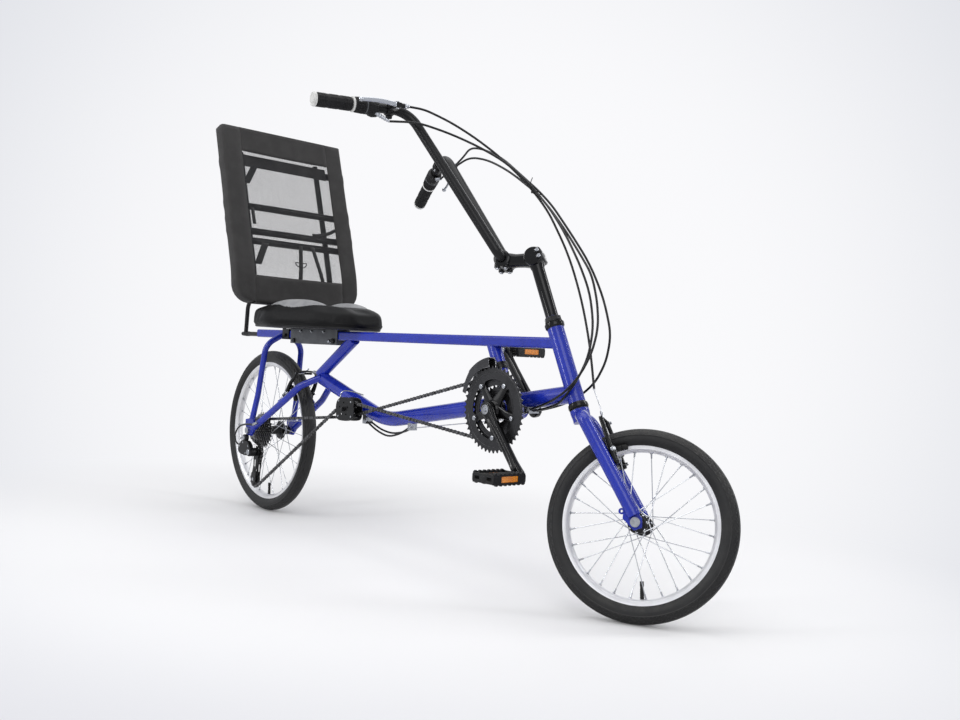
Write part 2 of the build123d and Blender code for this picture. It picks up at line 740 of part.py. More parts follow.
hoop_depth = back_wall + 1.0 + hoop_diameter / 2
hoop_y = back_half_width - back_wall - 1.0 - hoop_diameter / 2
hoop_line = behind(hoop_depth)
low_end = hoop_line[0] + (hoop_line[1] - hoop_line[0]).normalized() * 22.0
high_end = hoop_line[2] - (hoop_line[2] - hoop_line[1]).normalized() * 22.0
hoop_points = []
for sign, ends in ((-1, (low_end, hoop_line[1], high_end)), (1, (high_end, hoop_line[1], low_end))):
    for point in ends:
        hoop_points.append((point.X, sign * hoop_y, point.Z))
lower_hoop = bent_tube(
    [hoop_points[2], hoop_points[1], hoop_points[0], hoop_points[5], hoop_points[4], hoop_points[3]],
    [back_bend_radius, 40.0, 40.0, back_bend_radius],
    hoop_diameter / 2,
)
upper_bar = cross_rod(high_end.X, high_end.Z, -hoop_y, hoop_y, hoop_diameter / 2)
seat_back_hoop = lower_hoop + upper_bar

bar_depth = hoop_depth + 14.0
bar_heights = (1036.0, 901.0, 827.0, 798.0)
bar_line = behind(bar_depth)
for z in bar_heights:
    part_way = (z - bar_line[1].Z) / (bar_line[2].Z - bar_line[1].Z)
    x = bar_line[1].X + (bar_line[2].X - bar_line[1].X) * part_way
    seat_back_hoop = seat_back_hoop + cross_rod(x, z, -hoop_y, hoop_y, back_bar_diameter / 2)
nodes["seat_back_hoop"] = seat_back_hoop

upright_line = behind(bar_depth + 14.0)
upright_end_gap = 14.0
uprights = []
for sign in (-1, 1):
    low = upright_line[0] + (upright_line[1] - upright_line[0]).normalized() * upright_end_gap
    high = upright_line[2] - (upright_line[2] - upright_line[1]).normalized() * 60.0
    points = [(p.X, sign * upright_y, p.Z) for p in (low, upright_line[1], high)]
    uprights.append(bent_tube(points, [back_bend_radius], upright_diameter / 2))
upright_foot = upright_line[0] + (upright_line[1] - upright_line[0]).normalized() * upright_end_gap
base_above_foot = 10.0
base_z = upright_foot.Z + base_above_foot
base_x = upright_line[0].X
lower_cross = cross_rod(base_x, base_z, -upright_y, upright_y, upright_diameter / 2)
seat_back_frame = uprights[0] + uprights[1] + lower_cross
nodes["seat_back_frame"] = seat_back_frame - nodes["seat_back_hoop"]

# hinge plates that hold the backrest frame on the top tube
hinge_rear_x = 76.0
hinge_front_x = 112.0
lug_front_x = 92.0
hinge_wall = 3.4
tube_bottom_z = tube_top_z - top_tube_height
hinge_outline = [
    (hinge_rear_x, tube_bottom_z),
    (hinge_front_x, tube_bottom_z),
    (hinge_front_x, tube_top_z),
    (lug_front_x, tube_top_z),
    (lug_front_x, base_z - 12),
    (base_x + 12, base_z - 6),
    (base_x + 12, base_z + 12),
    (base_x - 12, base_z + 12),
    (hinge_rear_x, base_z - 18),
]
hinge_half = half_width + hinge_wall
hinge = block(
    (hinge_rear_x, hinge_front_x),
    (-hinge_half, hinge_half),
    (tube_bottom_z - hinge_wall, tube_top_z + hinge_wall),
)
for y in (-hinge_half, half_width):
    hinge = hinge + plate(hinge_outline, y, y + hinge_wall)
tube_space = block(
    (hinge_rear_x - 9, hinge_front_x + 9), (-half_width, half_width), (tube_bottom_z, tube_top_z)
)
nodes["seat_back_hinge"] = hinge - tube_space - lower_cross

slide_rod_z = top_tube_z - 3.0
slide_rod_end_x = top_tube_rear_x - 115.0
slide_rod = rod((top_tube_rear_x, 0, slide_rod_z), (slide_rod_end_x, 0, slide_rod_z), 7.0)
stay_foot = (slide_rod_end_x + 11.0, 0, slide_rod_z)
stay_bend = (slide_rod_end_x + 17.0, 0, base_z)
stay = bent_tube([stay_foot, stay_bend, (base_x, 0, base_z)], [34.0], 6.5)
nodes["seat_back_stay"] = (slide_rod + stay - lower_cross).solids().sort_by(SortBy.VOLUME)[-1]

# ---------------------------------------------------------------- steering
steerer = rod(on_axis(crown_along), on_axis(head_tube_end + cup_height + 14.0), steerer_diameter / 2)
crown = rod(on_axis(crown_along - 10.0), on_axis(head_tube_start - cup_height - headset_gap), 19.0)
fork = steerer + crown
crown_shoulder_y = -6.0
blade_points = [on_axis(crown_along, 0, crown_shoulder_y), on_axis(*blade_top), on_axis(*blade_foot)]
blade = bent_tube(blade_points, [24.0], fork_blade_diameter / 2)
fork = fork + blade + mirrored(blade)
tip_y = front_dropout_gap / 2
tip_outline = []
for along, ahead in ((14, -22), (34, -14), (30, 6), (4, 14), (-13, 8), (-13, -8)):
    point = front_axle + axis_direction * along + axis_normal * ahead
    tip_outline.append((point.X, point.Z))
right_tip = plate(tip_outline, -tip_y - dropout_thickness, -tip_y)
right_tip = right_tip - cross_rod(front_x, front_z, -90, 90, wheel_axle_diameter / 2)
space_between = cross_rod(front_x, front_z, -tip_y, tip_y, 30.0)
fork = fork - space_between - right_tip - mirrored(right_tip)
fork = fork.solids().sort_by(SortBy.VOLUME)[-1]
steered_nodes["fork"] = fork + right_tip + mirrored(right_tip)
steered_nodes["front_axle"] = make_axle(front_x, front_z, tip_y)

locknut_top = head_tube_end + cup_height + 14.0
locknut = rod(on_axis(head_tube_end + cup_height + headset_gap), on_axis(locknut_top), 18.0)
locknut_bore = rod(on_axis(head_tube_end), on_axis(locknut_top + cup_height), steerer_diameter / 2)
steered_nodes["headset_locknut"] = locknut - locknut_bore

stem_head = on_axis(stem_head_along)
stem = rod(on_axis(locknut_top), stem_head, stem_shaft_diameter / 2)
stem = stem + cross_rod(stem_head.X, stem_head.Z, -22, 22, 19.0)
stem = stem + rod(stem_head, bar_clamp, 13.0)
stem = stem + cross_rod(bar_clamp[0], bar_clamp[2], -25, 25, 19.0)

right_half = [bar_end, bar_bend, (bar_clamp[0], -bar_clamp_half, bar_clamp[2])]
bar_points = right_half + [(x, -y, z) for x, y, z in reversed(right_half)]
handlebar = bent_tube(bar_points, [55.0, 28.0, 28.0, 55.0], bar_diameter / 2)
steered_nodes["handlebar"] = handlebar
steered_nodes["stem"] = (stem - handlebar).solids().sort_by(SortBy.VOLUME)[-1]

grip_direction = (Vector(*bar_bend) - Vector(*bar_end)).normalized()


def on_grip(distance, ahead=0.0, above=0.0):
    """Point along the right grip from its end, with offsets square to it."""
    forward = Vector(1, 0, 0) - grip_direction * grip_direction.X
    forward = forward.normalized()
    upward = forward.cross(grip_direction)
    if upward.Z < 0:
        upward = upward * -1
    return Vector(*bar_end) + grip_direction * distance + forward * ahead + upward * above


def sleeve(start, end, diameter):
    """Ring over the bar between two places on the right grip."""
    return rod(on_grip(start), on_grip(end), diameter / 2) - handlebar


lever_tip_distance = 86.0
lever_blade_diameter = 10.0
right_grip = sleeve(0.5, grip_length, grip_diameter).solid()
end_cap = rod(on_grip(-7.0), on_grip(0.0), grip_diameter / 2)
shifter_start = grip_length + 5.0
grip_ring = sleeve(grip_length, shifter_start, grip_diameter + 3.0).solid()
shifter = sleeve(shifter_start, shifter_start + shifter_length, shifter_diameter).solid()
boot = rod(on_grip(shifter_start + shifter_length - 12.0, 6, -12), on_grip(170, 16, -28), 5.0) - handlebar
shifter = (shifter + boot).solids().sort_by(SortBy.VOLUME)[-1]
shift_cable_start = on_grip(170, 16, -28)

# brake lever: clamp round the bar, reach to the pivot, blade and cable adjuster
lever_clamp_start = 168.0
lever_clamp_length = 18.0
lever_body = sleeve(lever_clamp_start, lever_clamp_start + lever_clamp_length, 30.0)
lever_pivot = on_grip(lever_clamp_start + 8, 40, 6)
brake_cable_start = on_grip(206, 37, 6)
lever_body = lever_body + rod(on_grip(lever_clamp_start + 9, 14), lever_pivot, 7.0)
lever_body = lever_body + rod(lever_pivot, brake_cable_start, 4.0)
lever_body = lever_body.solids().sort_by(SortBy.VOLUME)[-1]
lever_points = [lever_pivot, on_grip(150, 41, 9), on_grip(lever_tip_distance, 40, 8)]
lever_blade = cable(lever_points, lever_blade_diameter) - lever_body
lever_blade = lever_blade.solids().sort_by(SortBy.VOLUME)[-1]
for name, shape in (
    ("grips", right_grip),
    ("bar_end_caps", end_cap),
    ("grip_rings", grip_ring),
    ("twist_shifters", shifter),
    ("lever_bodies", lever_body),
    ("lever_blades", lever_blade),
):
    steered_nodes[name] = Compound(children=[shape, mirrored(shape)])

# ---------------------------------------------------------------- brakes
pad_gap = 2.0
pad_half_length = 26.0
pad_radius = 5.5
brake_arm_radius = 6.0
noodle_radius = 2.5


def beside(point, y):
    """The same point of the middle plane, moved across the bicycle."""
    return (point.X, y, point.Z)


def brake_side(pivot, top, pad_centre, pad_along, y_pivot, y_top):
    """One V-brake arm with its pad holder beside the rim's flank."""
    pad_y = -rim_half_width - pad_gap - pad_radius - 2.0
    arm = rod(beside(pivot, y_pivot), beside(top, y_top), brake_arm_radius)
    arm = arm + rod(beside(pad_centre, y_pivot), beside(pad_centre, pad_y - 4.5), 4.0)
    first = pad_centre - pad_along * pad_half_length
    last = pad_centre + pad_along * pad_half_length
    pad = rod(beside(first, pad_y), beside(last, pad_y), pad_radius)
    return (arm + pad).solids().sort_by(SortBy.VOLUME)[-1]


front_pivot_along = 312.0
front_pivot = on_axis(front_pivot_along, 48)
front_brake_top = on_axis(404, 43)
front_pad = on_axis(335, 50)
front_pivot_y = -38.0
front_top_y = -32.0
front_pad_along = (front_pad - front_axle).cross(Vector(0, 1, 0)).normalized()
front_brake_right = brake_side(
    front_pivot, front_brake_top, front_pad, front_pad_along, front_pivot_y, front_top_y
)
blade_share = (blade_top[0] - front_pivot_along) / (blade_top[0] - blade_foot[0])
blade_ahead = blade_top[1] + (blade_foot[1] - blade_top[1]) * blade_share
blade_y = blade_top[2] + (blade_foot[2] - blade_top[2]) * blade_share
boss_root = on_axis(front_pivot_along, blade_ahead, blade_y)
front_boss = rod(boss_root, beside(front_pivot, front_pivot_y), brake_arm_radius)
front_brake_right = front_brake_right + front_boss
front_brake_bridge = rod(
    beside(front_brake_top, front_top_y), beside(front_brake_top, -front_top_y), noodle_radius
)
front_brake = front_brake_right + mirrored(front_brake_right) + front_brake_bridge
steered_nodes["front_brake"] = front_brake - steered_nodes["fork"]

rear_pivot = Vector(150, 0, 352)
rear_brake_top = Vector(190, 0, 420)
rear_pivot_y = -40.0
rear_top_y = -34.0
rear_hub_centre = Vector(0, 0, rear_axle_z)
rear_pad_towards = (Vector(158, 0, 362) - rear_hub_centre).normalized()
rear_pad = rear_hub_centre + rear_pad_towards * (rear_tyre_centre_radius - 20.0)
rear_pad_along = (rear_pad - rear_hub_centre).cross(Vector(0, 1, 0)).normalized()
rear_brake_right = brake_side(
    rear_pivot, rear_brake_top, rear_pad, rear_pad_along, rear_pivot_y, rear_top_y
)
rear_brake_bridge = rod(
    beside(rear_brake_top, rear_top_y), beside(rear_brake_top, -rear_top_y), noodle_radius
)
rear_brake = rear_brake_right + mirrored(rear_brake_right) + rear_brake_bridge
nodes["rear_brake"] = rear_brake - chainstay - mirrored(chainstay)

# ---------------------------------------------------------------- cables
# points on the straight-ahead steering, from each lever or shifter to the tie
tie = (1080.0, 0, 868.0)


def at_tie(across, outward):
    """Place of one cable in the tied bundle."""
    return (tie[0] + outward * 0.7, across, tie[2] + outward * 0.7)


def left_of(point):
    """Mirror image of a point across the middle plane."""
    return (point.X, -point.Y, point.Z)


front_brake_route = [
    brake_cable_start,
    (829, -122, 1003),
    (878, -85, 993),
    (929, -50, 973),
    (985, -20, 942),
    (1036, -4, 903),
    at_tie(0, -4),
    (1116, 0, 822),
    (1176, 0, 730),
    (1221, 0, 632),
    (1254, 0, 537),
    (1278, 0, 444),
]
housing_end = Vector(*front_brake_route[-1])
front_wire_end = (front_brake_top.X - 1.0, 0, front_brake_top.Z + 5.0)
front_brake_wire = rod(housing_end, front_wire_end, wire_diameter / 2)
front_brake_cable = cable(front_brake_route, cable_diameter) + front_brake_wire
steered_nodes["front_brake_cable"] = front_brake_cable - front_brake - lever_body

rear_brake_start = [
    left_of(brake_cable_start),
    (829, 127, 1004),
    (863, 82, 1008),
    (905, 50, 993),
    (971, 19, 960),
    at_tie(0, 6),
]
rear_shift_start = [
    shift_cable_start,
    (822, -131, 968),
    (881, -84, 966),
    (941, -54, 951),
    (997, -32, 929),
    (1041, -15, 901),
    at_tie(-6, 0),
]
front_shift_start = [
    left_of(shift_cable_start),
    (806, 142, 985),
    (865, 85, 986),
    (930, 46, 963),
    (1000, 18, 924),
    at_tie(6, 0),
]
# points fixed to the frame, from the tie to the stops under the lower tube
stop_front_x = 1128.0
stop_rear_x = 1112.0
stop_z = 387.0
rear_brake_end = [
    (1113, 34, 835),
    (1173, 37, 768),
    (1227, 39, 704),
    (1269, 41, 630),
    (1291, 44, 556),
    (1281, 44, 500),
    (1260, 40, 459),
    (1236, 34, 434),
    (1200, 27, 411),
    (1164, 17, 397),
    (stop_front_x, 5, stop_z),
]
rear_shift_end = [
    (1118, 21, 827),
    (1171, 17, 770),
    (1224, 12, 699),
    (1260, 8, 638),
    (1281, 0, 568),
    (1282, -13, 506),
    (1264, -25, 456),
    (1214, -19, 408),
    (1172, -10, 396),
    (stop_front_x, -5, stop_z),
]
front_shift_end = [
    (1114, 29, 826),
    (1170, 25, 771),
    (1216, 20, 722),
    (1252, 18, 680),
    (1277, 12, 622),
    (1292, 2, 568),
    (1292, -14, 516),
    (1279, -30, 472),
    (1248, -34, 438),
    (1203, -28, 414),
    (1165, -20, 401),
    (stop_front_x, -15, stop_z + 3.0),
]

# bare wires run below the shell to the rear, then housings sag to their stops
wire_wrap_radius = bottom_bracket_diameter / 2 + wire_diameter / 2 + 0.4
loop_front_x = 704.0
loop_front_z = 311.0
loop_end = (508.0, 311.0)


def crossing_cable(start, end):
    """Housing from the steering to its stop on the frame."""
    return cable([steered(p) for p in start] + end, cable_diameter)


def below_shell(front, rear, y):
    """Corner between two runs that both touch the wires' wrap round the shell, from x and z."""
    headings = []
    for x, z, side in ((front[0], front[1], 1), (rear[0], rear[1], -1)):
        towards = atan2(bottom_bracket_z - z, bottom_bracket_x - x)
        apart = hypot(bottom_bracket_z - z, bottom_bracket_x - x)
        headings.append(towards + side * asin(wire_wrap_radius / apart))
    slopes = [tan(heading) for heading in headings]
    x = (rear[1] - front[1] + slopes[0] * front[0] - slopes[1] * rear[0]) / (slopes[0] - slopes[1])
    return (x, y, front[1] + slopes[0] * (x - front[0]))


def under_wire(y):
    """Bare wire from its front stop, below the shell, to the loop's stop."""
    corner = below_shell((stop_rear_x, stop_z), (loop_front_x, loop_front_z), y)
    points = [(stop_rear_x, y, stop_z), corner, (loop_front_x, y, loop_front_z)]
    return bent_tube(points, [wire_wrap_radius], wire_diameter / 2)


def loop(y, sag):
    """Housing that hangs below the lower tube between two stops."""
    points = [
        (loop_front_x - 10.0, y, loop_front_z),
        (660, y, 297 - sag / 2),
        (610, y, 288 - sag),
        (560, y, 294 - sag / 2),
        (loop_end[0] + 6.0, y, loop_end[1] - 1.0),
    ]
    return cable(points, cable_diameter)


rear_loop_route = [
    (42, -82, 262),
    (0, -83, 260),
    (-46, -82, 250),
    (-74, -80, 222),
    (-70, -77, 198),
    (-47, -75, 192),
]
noodle_route = [(230, 0, 428), (212, -8, 429), (199, -22, 428), (192, -30, 423)]
rear_brake_pieces = [
    crossing_cable(rear_brake_start, rear_brake_end),
    under_wire(5),
    loop(6, 0),
    cable(noodle_route, cable_diameter) - nodes["rear_brake"],
]
rear_shift_pieces = [
    crossing_cable(rear_shift_start, rear_shift_end),
    under_wire(-5),
    loop(-6, 8),
    cable(rear_loop_route, cable_diameter) - nodes["rear_derailleur"],
]
wire_start = (stop_rear_x, -15, stop_z + 3.0)
wire_end = (link_at.X + 4, -27, link_at.Z - 4.0)
wire_corner = below_shell((wire_start[0], wire_start[2]), (wire_end[0], wire_end[2]), -23)
front_shift_pieces = [
    crossing_cable(front_shift_start, front_shift_end),
    bent_tube([wire_start, wire_corner, wire_end], [wire_wrap_radius], wire_diameter / 2)
    - nodes["front_derailleur_body"],
]
front_stop = block((stop_rear_x, stop_front_x), (-20, 10), (stop_z - 6.0, stop_z + 8.0))
loop_front_stop = block(
    (loop_front_x - 10.0, loop_front_x), (-11, 11), (loop_front_z - 6.0, loop_front_z + 14.0)
)
loop_rear_stop = block(
    (loop_end[0] - 10.0, loop_end[0] + 6.0), (-11, 11), (loop_end[1] - 6.0, loop_end[1] + 20.0)
)
noodle_stop = rod((276, 0, 424), (230, 0, 428), 5.0)
stay_stop = rod((62, -80, 270), (42, -82, 262), 4.0)
stops = [front_stop, loop_front_stop, loop_rear_stop, noodle_stop, stay_stop]
holders = (lever_body, mirrored(lever_body), shifter, mirrored(shifter))
turned_holders = [holder.rotate(steer_axis, stored_steer_angle) for holder in holders]
frame_pieces = (lower_tube_solid, nodes["seat_strut"], nodes["chainstays"], nodes["seatstays"])
nodes["cable_stops"] = trimmed(stops, *frame_pieces)
for name, pieces in (
    ("rear_brake_cable", rear_brake_pieces),
    ("rear_shift_cable", rear_shift_pieces),
    ("front_shift_cable", front_shift_pieces),
):
    largest = []
    for piece in pieces:
        for holder in stops + turned_holders:
            piece = piece - holder
        largest.append(piece.solids().sort_by(SortBy.VOLUME)[-1])
    nodes[name] = Compound(children=largest)

# ---------------------------------------------------------------- turn the steering and write
for name, shape in steered_nodes.items():
    nodes[name] = shape.rotate(steer_axis, stored_steer_angle)

rider_point = Location((-rider_x, 0, -cushion_top_z))
for name, shape in nodes.items():
    export_step(shape.moved(rider_point), f"parts/{name}.step")
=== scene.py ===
import bpy
import bmesh
import math
from mathutils import Matrix, Vector


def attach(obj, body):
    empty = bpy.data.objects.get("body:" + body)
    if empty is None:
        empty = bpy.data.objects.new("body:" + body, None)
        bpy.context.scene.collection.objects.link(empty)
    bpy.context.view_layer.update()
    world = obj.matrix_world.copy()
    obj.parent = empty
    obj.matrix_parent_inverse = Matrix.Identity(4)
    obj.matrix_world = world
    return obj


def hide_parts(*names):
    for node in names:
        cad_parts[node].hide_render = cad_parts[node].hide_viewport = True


# Recumbent bicycle: looks over the CAD frame. Shapes are laid out in millimetres on the
# bicycle's own layout, X forward, Y left, Z up from the ground, rear axle above X = 0.
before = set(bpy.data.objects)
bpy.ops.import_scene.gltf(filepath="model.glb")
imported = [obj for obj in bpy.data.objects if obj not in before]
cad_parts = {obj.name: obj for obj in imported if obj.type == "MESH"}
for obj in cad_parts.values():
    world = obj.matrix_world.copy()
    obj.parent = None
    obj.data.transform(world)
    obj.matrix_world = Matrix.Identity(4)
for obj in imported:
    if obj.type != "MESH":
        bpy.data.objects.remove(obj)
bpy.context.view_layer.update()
scene = bpy.context.scene
tau = 2 * math.pi
rowOrigin = (300.0, 0.0, 617.0)  # the shared frame's origin on this layout
toRow = Matrix.Translation([-v / 1000 for v in rowOrigin]) @ Matrix.Scale(0.001, 4)
sideAxis = Vector((0, 1, 0))

# the steering's axis, from where it meets the ground, and how far the bar is turned
steer = {"ground": 1443.9, "angle": 64.5, "turned": 30.56, "bodies": ("steering", "front_wheel")}
steerLean = math.radians(steer["angle"])
steerAxis = Vector((-math.cos(steerLean), 0, math.sin(steerLean)))
steerAhead = Vector((math.sin(steerLean), 0, math.cos(steerLean)))
steerGround = Vector((steer["ground"], 0, 0))
steerTurn = Matrix.Rotation(math.radians(steer["turned"]), 4, steerAxis)
turnSteering = Matrix.Translation(steerGround) @ steerTurn @ Matrix.Translation(-steerGround)


def aside(y):
    return sideAxis * y


def onAxis(along, ahead=0.0, y=0.0):
    return steerGround + steerAxis * along + steerAhead * ahead + aside(y)


def polar(a, radius=1.0, y=0.0):
    # in the side plane: angle in radians from forward, turning up
    return Vector((radius * math.cos(a), y, radius * math.sin(a)))


def spinPoint(centre, degrees, radius, y):
    return centre + polar(math.radians(degrees), radius, y)


# places that several pieces share
rearAxle = Vector((0, 0, 241))
frontAxle = onAxis(183.6, 53.0)
shell = Vector((1053, 0, 384))
idlerAt = Vector((485, 0, 342))
guideAt = Vector((22, 0, 176))
tensionAt = Vector((12, 0, 96))


def axisFrame(axis):
    axis = Vector(axis).normalized()
    side = axis.orthogonal().normalized()
    return axis, side, axis.cross(side)


def rowMatrix(body):
    return toRow @ turnSteering if body in steer["bodies"] else toRow


# a piece from millimetre points; layout gives each face's corners on its flat cloth or sheet, in metres
def meshPiece(name, verts, faces, body, finish, sharp, layout=None):
    mesh = bpy.data.meshes.new(name)
    mesh.from_pydata([tuple(v) for v in verts], [], faces)
    if layout:
        layer = mesh.uv_layers.new(name="flat")
        for number, corners in layout.items():
            for loop, corner in zip(mesh.polygons[number].loop_indices, corners):
                layer.data[loop].uv = corner
    mesh.transform(rowMatrix(body))
    mesh.validate()
    mesh.polygons.foreach_set("use_smooth", [True] * len(mesh.polygons))
    mesh.set_sharp_from_angle(angle=math.radians(sharp))
    mesh.materials.append(finishes[finish])
    item = bpy.data.objects.new(name, mesh)
    scene.collection.objects.link(item)
    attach(item, body)
    return item


def recalculateNormals(mesh, weldWithin=0.0):
    bm = bmesh.new()
    bm.from_mesh(mesh)
    if weldWithin:
        bmesh.ops.remove_doubles(bm, verts=bm.verts, dist=weldWithin)
    bmesh.ops.recalc_face_normals(bm, faces=bm.faces)
    bm.to_mesh(mesh)
    bm.free()


class Shape:
    # gathers millimetre geometry from several simple parts into one piece

    def __init__(self):
        self.verts, self.faces, self.layout = [], [], {}

    def add(self, verts, faces):
        start = len(self.verts)
        self.verts.extend(Vector(v) for v in verts)
        self.faces.extend(tuple(start + i for i in face) for face in faces)

    def skin(self, rows, joinEnds=False, joinSides=True):
        # faces between rows of points, each with the same count
        count, total = len(rows[0]), len(rows)
        faces = []
        for i in range(total if joinEnds else total - 1):
            for j in range(count if joinSides else count - 1):
                here, there, k = i * count, (i + 1) % total * count, (j + 1) % count
                faces.append((here + j, here + k, there + k, there + j))
        self.add([p for row in rows for p in row], faces)

    def loft(self, rings, caps=True):
        first, count = len(self.verts), len(rings[0])
        self.skin(rings)
        if caps:
            last = first + (len(rings) - 1) * count
            self.faces.append(tuple(reversed(range(first, first + count))))
            self.faces.append(tuple(range(last, last + count)))

    def lathe(self, centre, axis, profile, segments, closed=True):
        # revolves (along, radius) points about an axis through centre
        axis, side, other = axisFrame(axis)
        rows = []
        for i in range(segments):
            out = side * math.cos(tau * i / segments) + other * math.sin(tau * i / segments)
            rows.append([Vector(centre) + axis * along + out * radius for along, radius in profile])
        self.skin(rows, True, closed)

    def rod(self, a, b, radius, segments, end=None):
        # round bar, or a cone with a second radius
        way = Vector(b) - Vector(a)
        far = radius if end is None else end
        self.lathe(a, way, [(0, 0.01), (0, radius), (way.length, far), (way.length, 0.01)], segments, False)

    def knob(self, a, b, radius, bevel, segments=20):
        # short round bar with rounded rims
        way = Vector(b) - Vector(a)
        r = min(bevel, radius * 0.9, way.length / 2)
        rim = [(0, 0.01), (0, radius - r), (r * 0.3, radius - r * 0.3), (r, radius)]
        profile = rim + [(way.length - along, out) for along, out in reversed(rim)]
        self.lathe(a, way, profile, segments, False)

    def hexHead(self, a, b, radius):
        # bolt head with six sides and a small washer
        a, b = Vector(a), Vector(b)
        way = (b - a).normalized()
        self.knob(a, a + way, radius * 1.25, 0.3, 20)
        self.rod(a + way, b - way * 0.4, radius, 6)
        self.rod(b - way * 0.4, b, radius, 6, radius * 0.85)

    def fluted(self, centre, axis, stations, teeth):
        # a turned part with grooves along it, from (along, radius, groove depth)
        axis, side, other = axisFrame(axis)
        rings, count = [], teeth * 4
        for along, radius, depth in stations:
            ring = []
            for i in range(count):
                out = side * math.cos(tau * i / count) + other * math.sin(tau * i / count)
                ring.append(Vector(centre) + axis * along + out * (radius - (depth if i % 4 > 1 else 0.0)))
            rings.append(ring)
        self.loft(rings)

    def box(self, low, high, matrix=Matrix.Identity(4)):
        spans = list(zip(low, high))
        points = [matrix @ Vector((x, y, z)) for x in spans[0] for y in spans[1] for z in spans[2]]
        self.add(points, [(0, 1, 3, 2), (4, 6, 7, 5), (0, 4, 5, 1), (2, 3, 7, 6), (0, 2, 6, 4), (1, 5, 7, 3)])

    def sweep(self, path, radius, segments, caps=True):
        # round tube along points, or one radius for each point
        path = [Vector(p) for p in path]
        radii = radius if isinstance(radius, list) else [radius] * len(path)
        turns = [tau * j / segments for j in range(segments)]
        rings = []
        for point, r, (u, v) in zip(path, radii, carryFrames(path)):
            rings.append([point + (u * math.cos(a) + v * math.sin(a)) * r for a in turns])
        self.loft(rings, caps)

    def plate(self, loops, start, end, matrix, bevel):
        # flat plate between two heights from an outline and its holes, in its own plane
        curve = bpy.data.curves.new("outline", "CURVE")
        curve.dimensions, curve.fill_mode = "2D", "BOTH"
        curve.extrude = (end - start) / 2 - bevel
        curve.bevel_depth, curve.bevel_resolution, curve.offset = bevel, 0, -bevel
        for points in loops:
            spline = curve.splines.new("POLY")
            spline.points.add(len(points) - 1)
            for target, (x, y) in zip(spline.points, points):
                target.co = (x, y, 0, 1)
            spline.use_cyclic_u = True
        holder = bpy.data.objects.new("outline", curve)
        mesh = bpy.data.meshes.new_from_object(holder)
        middle = Matrix.Translation((0, 0, (start + end) / 2))
        self.add([matrix @ middle @ v.co for v in mesh.vertices], [tuple(p.vertices) for p in mesh.polygons])
        bpy.data.objects.remove(holder)
        bpy.data.curves.remove(curve)
        bpy.data.meshes.remove(mesh)

    def mirror(self):
        # adds the mirror image across the middle plane
        start = len(self.verts)
        self.verts.extend(Vector((v.x, -v.y, v.z)) for v in self.verts[:start])
        self.faces.extend(tuple(start + i for i in reversed(face)) for face in self.faces[:])

    def piece(self, name, body, finish, sharp, slotName, stands=None, weld=True):
        item = meshPiece(name, self.verts, self.faces, body, finish, sharp, self.layout)
        if weld:
            recalculateNormals(item.data, 2e-6)
            item.data.set_sharp_from_angle(angle=math.radians(sharp))
        if stands:
            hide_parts(stands)


def carryFrames(path):
    # two directions square to the path at each point, carried without twist
    frames, side = [], None
    for i in range(len(path)):
        ahead = (path[min(i + 1, len(path) - 1)] - path[max(i - 1, 0)]).normalized()
        side = ahead.orthogonal().normalized() if side is None else side
        side = (side - ahead * side.dot(ahead)).normalized()
        frames.append((side, ahead.cross(side)))
    return frames


def curvePoints(a, b, c, d, steps):
    # a smooth run of points from b towards c
    run = []
    for s in range(steps):
        t = s / steps
        square, cube = 2 * a - 5 * b + 4 * c - d, 3 * b - a - 3 * c + d
        run.append(0.5 * (2 * b + (c - a) * t + square * t * t + cube * t ** 3))
    return run


def smoothPath(points, steps):
    # a smooth line through the given points
    pts = [Vector(p) for p in points]
    pts = [pts[0] * 2 - pts[1]] + pts + [pts[-1] * 2 - pts[-2]]
    line = []
    for i in range(1, len(pts) - 2):
        line += curvePoints(*pts[i - 1 : i + 3], steps)
    return line + [pts[-2]]


def smoothOutline(points, steps=5):
    # a closed smooth outline through corner points
    pts = [Vector((x, y, 0)) for x, y in points]
    line = []
    for i in range(len(pts)):
        line += curvePoints(*(pts[(i + j) % len(pts)] for j in (-1, 0, 1, 2)), steps)
    return [(p.x, p.y) for p in line]


def circle(radius, count, x=0.0, y=0.0):
    turns = [tau * i / count for i in range(count)]
    return [(x + radius * math.cos(a), y + radius * math.sin(a)) for a in turns]


def roundedBox(width, height, corner, each=3):
    # closed outline of a rounded rectangle
    outline = []
    for number, (sx, sy) in enumerate(((1, 1), (-1, 1), (-1, -1), (1, -1))):
        for i in range(each + 1):
            a = tau / 4 * (number + i / each)
            x, y = sx * (width / 2 - corner), sy * (height / 2 - corner)
            outline.append((x + corner * math.cos(a), y + corner * math.sin(a)))
    return outline


def ringAt(centre, u, v, outline):
    # an outline set in space on two directions
    return [Vector(centre) + Vector(u) * x + Vector(v) * y for x, y in outline]


# a plane standing along the bicycle: its x is forward, its y is up, and its height runs to the right
def sidePlane(x=0.0, z=0.0, y=0.0):
    return Matrix(((1, 0, 0, x), (0, 0, -1, y), (0, 1, 0, z), (0, 0, 0, 1)))


print("finishes")


def feed(tree, socket, value):
    if isinstance(value, bpy.types.NodeSocket):
        tree.links.new(value, socket)
    else:
        socket.default_value = value


def addNode(tree, kind, settings=None, sockets=None, **named):
    item = tree.nodes.new("ShaderNode" + kind)
    for key, value in (settings or {}).items():
        setattr(item, key, value)
    for key, value in (sockets or {}).items():
        feed(tree, item.inputs[key], value)
    for key, value in named.items():
        feed(tree, item.inputs[key.replace("_", " ")], value)
    return item


def maths(tree, operation, *values, clamp=False):
    settings = {"operation": operation, "use_clamp": clamp}
    return addNode(tree, "Math", settings, dict(enumerate(values))).outputs[0]


def vectorMaths(tree, operation, *values):
    return addNode(tree, "VectorMath", {"operation": operation}, dict(enumerate(values))).outputs


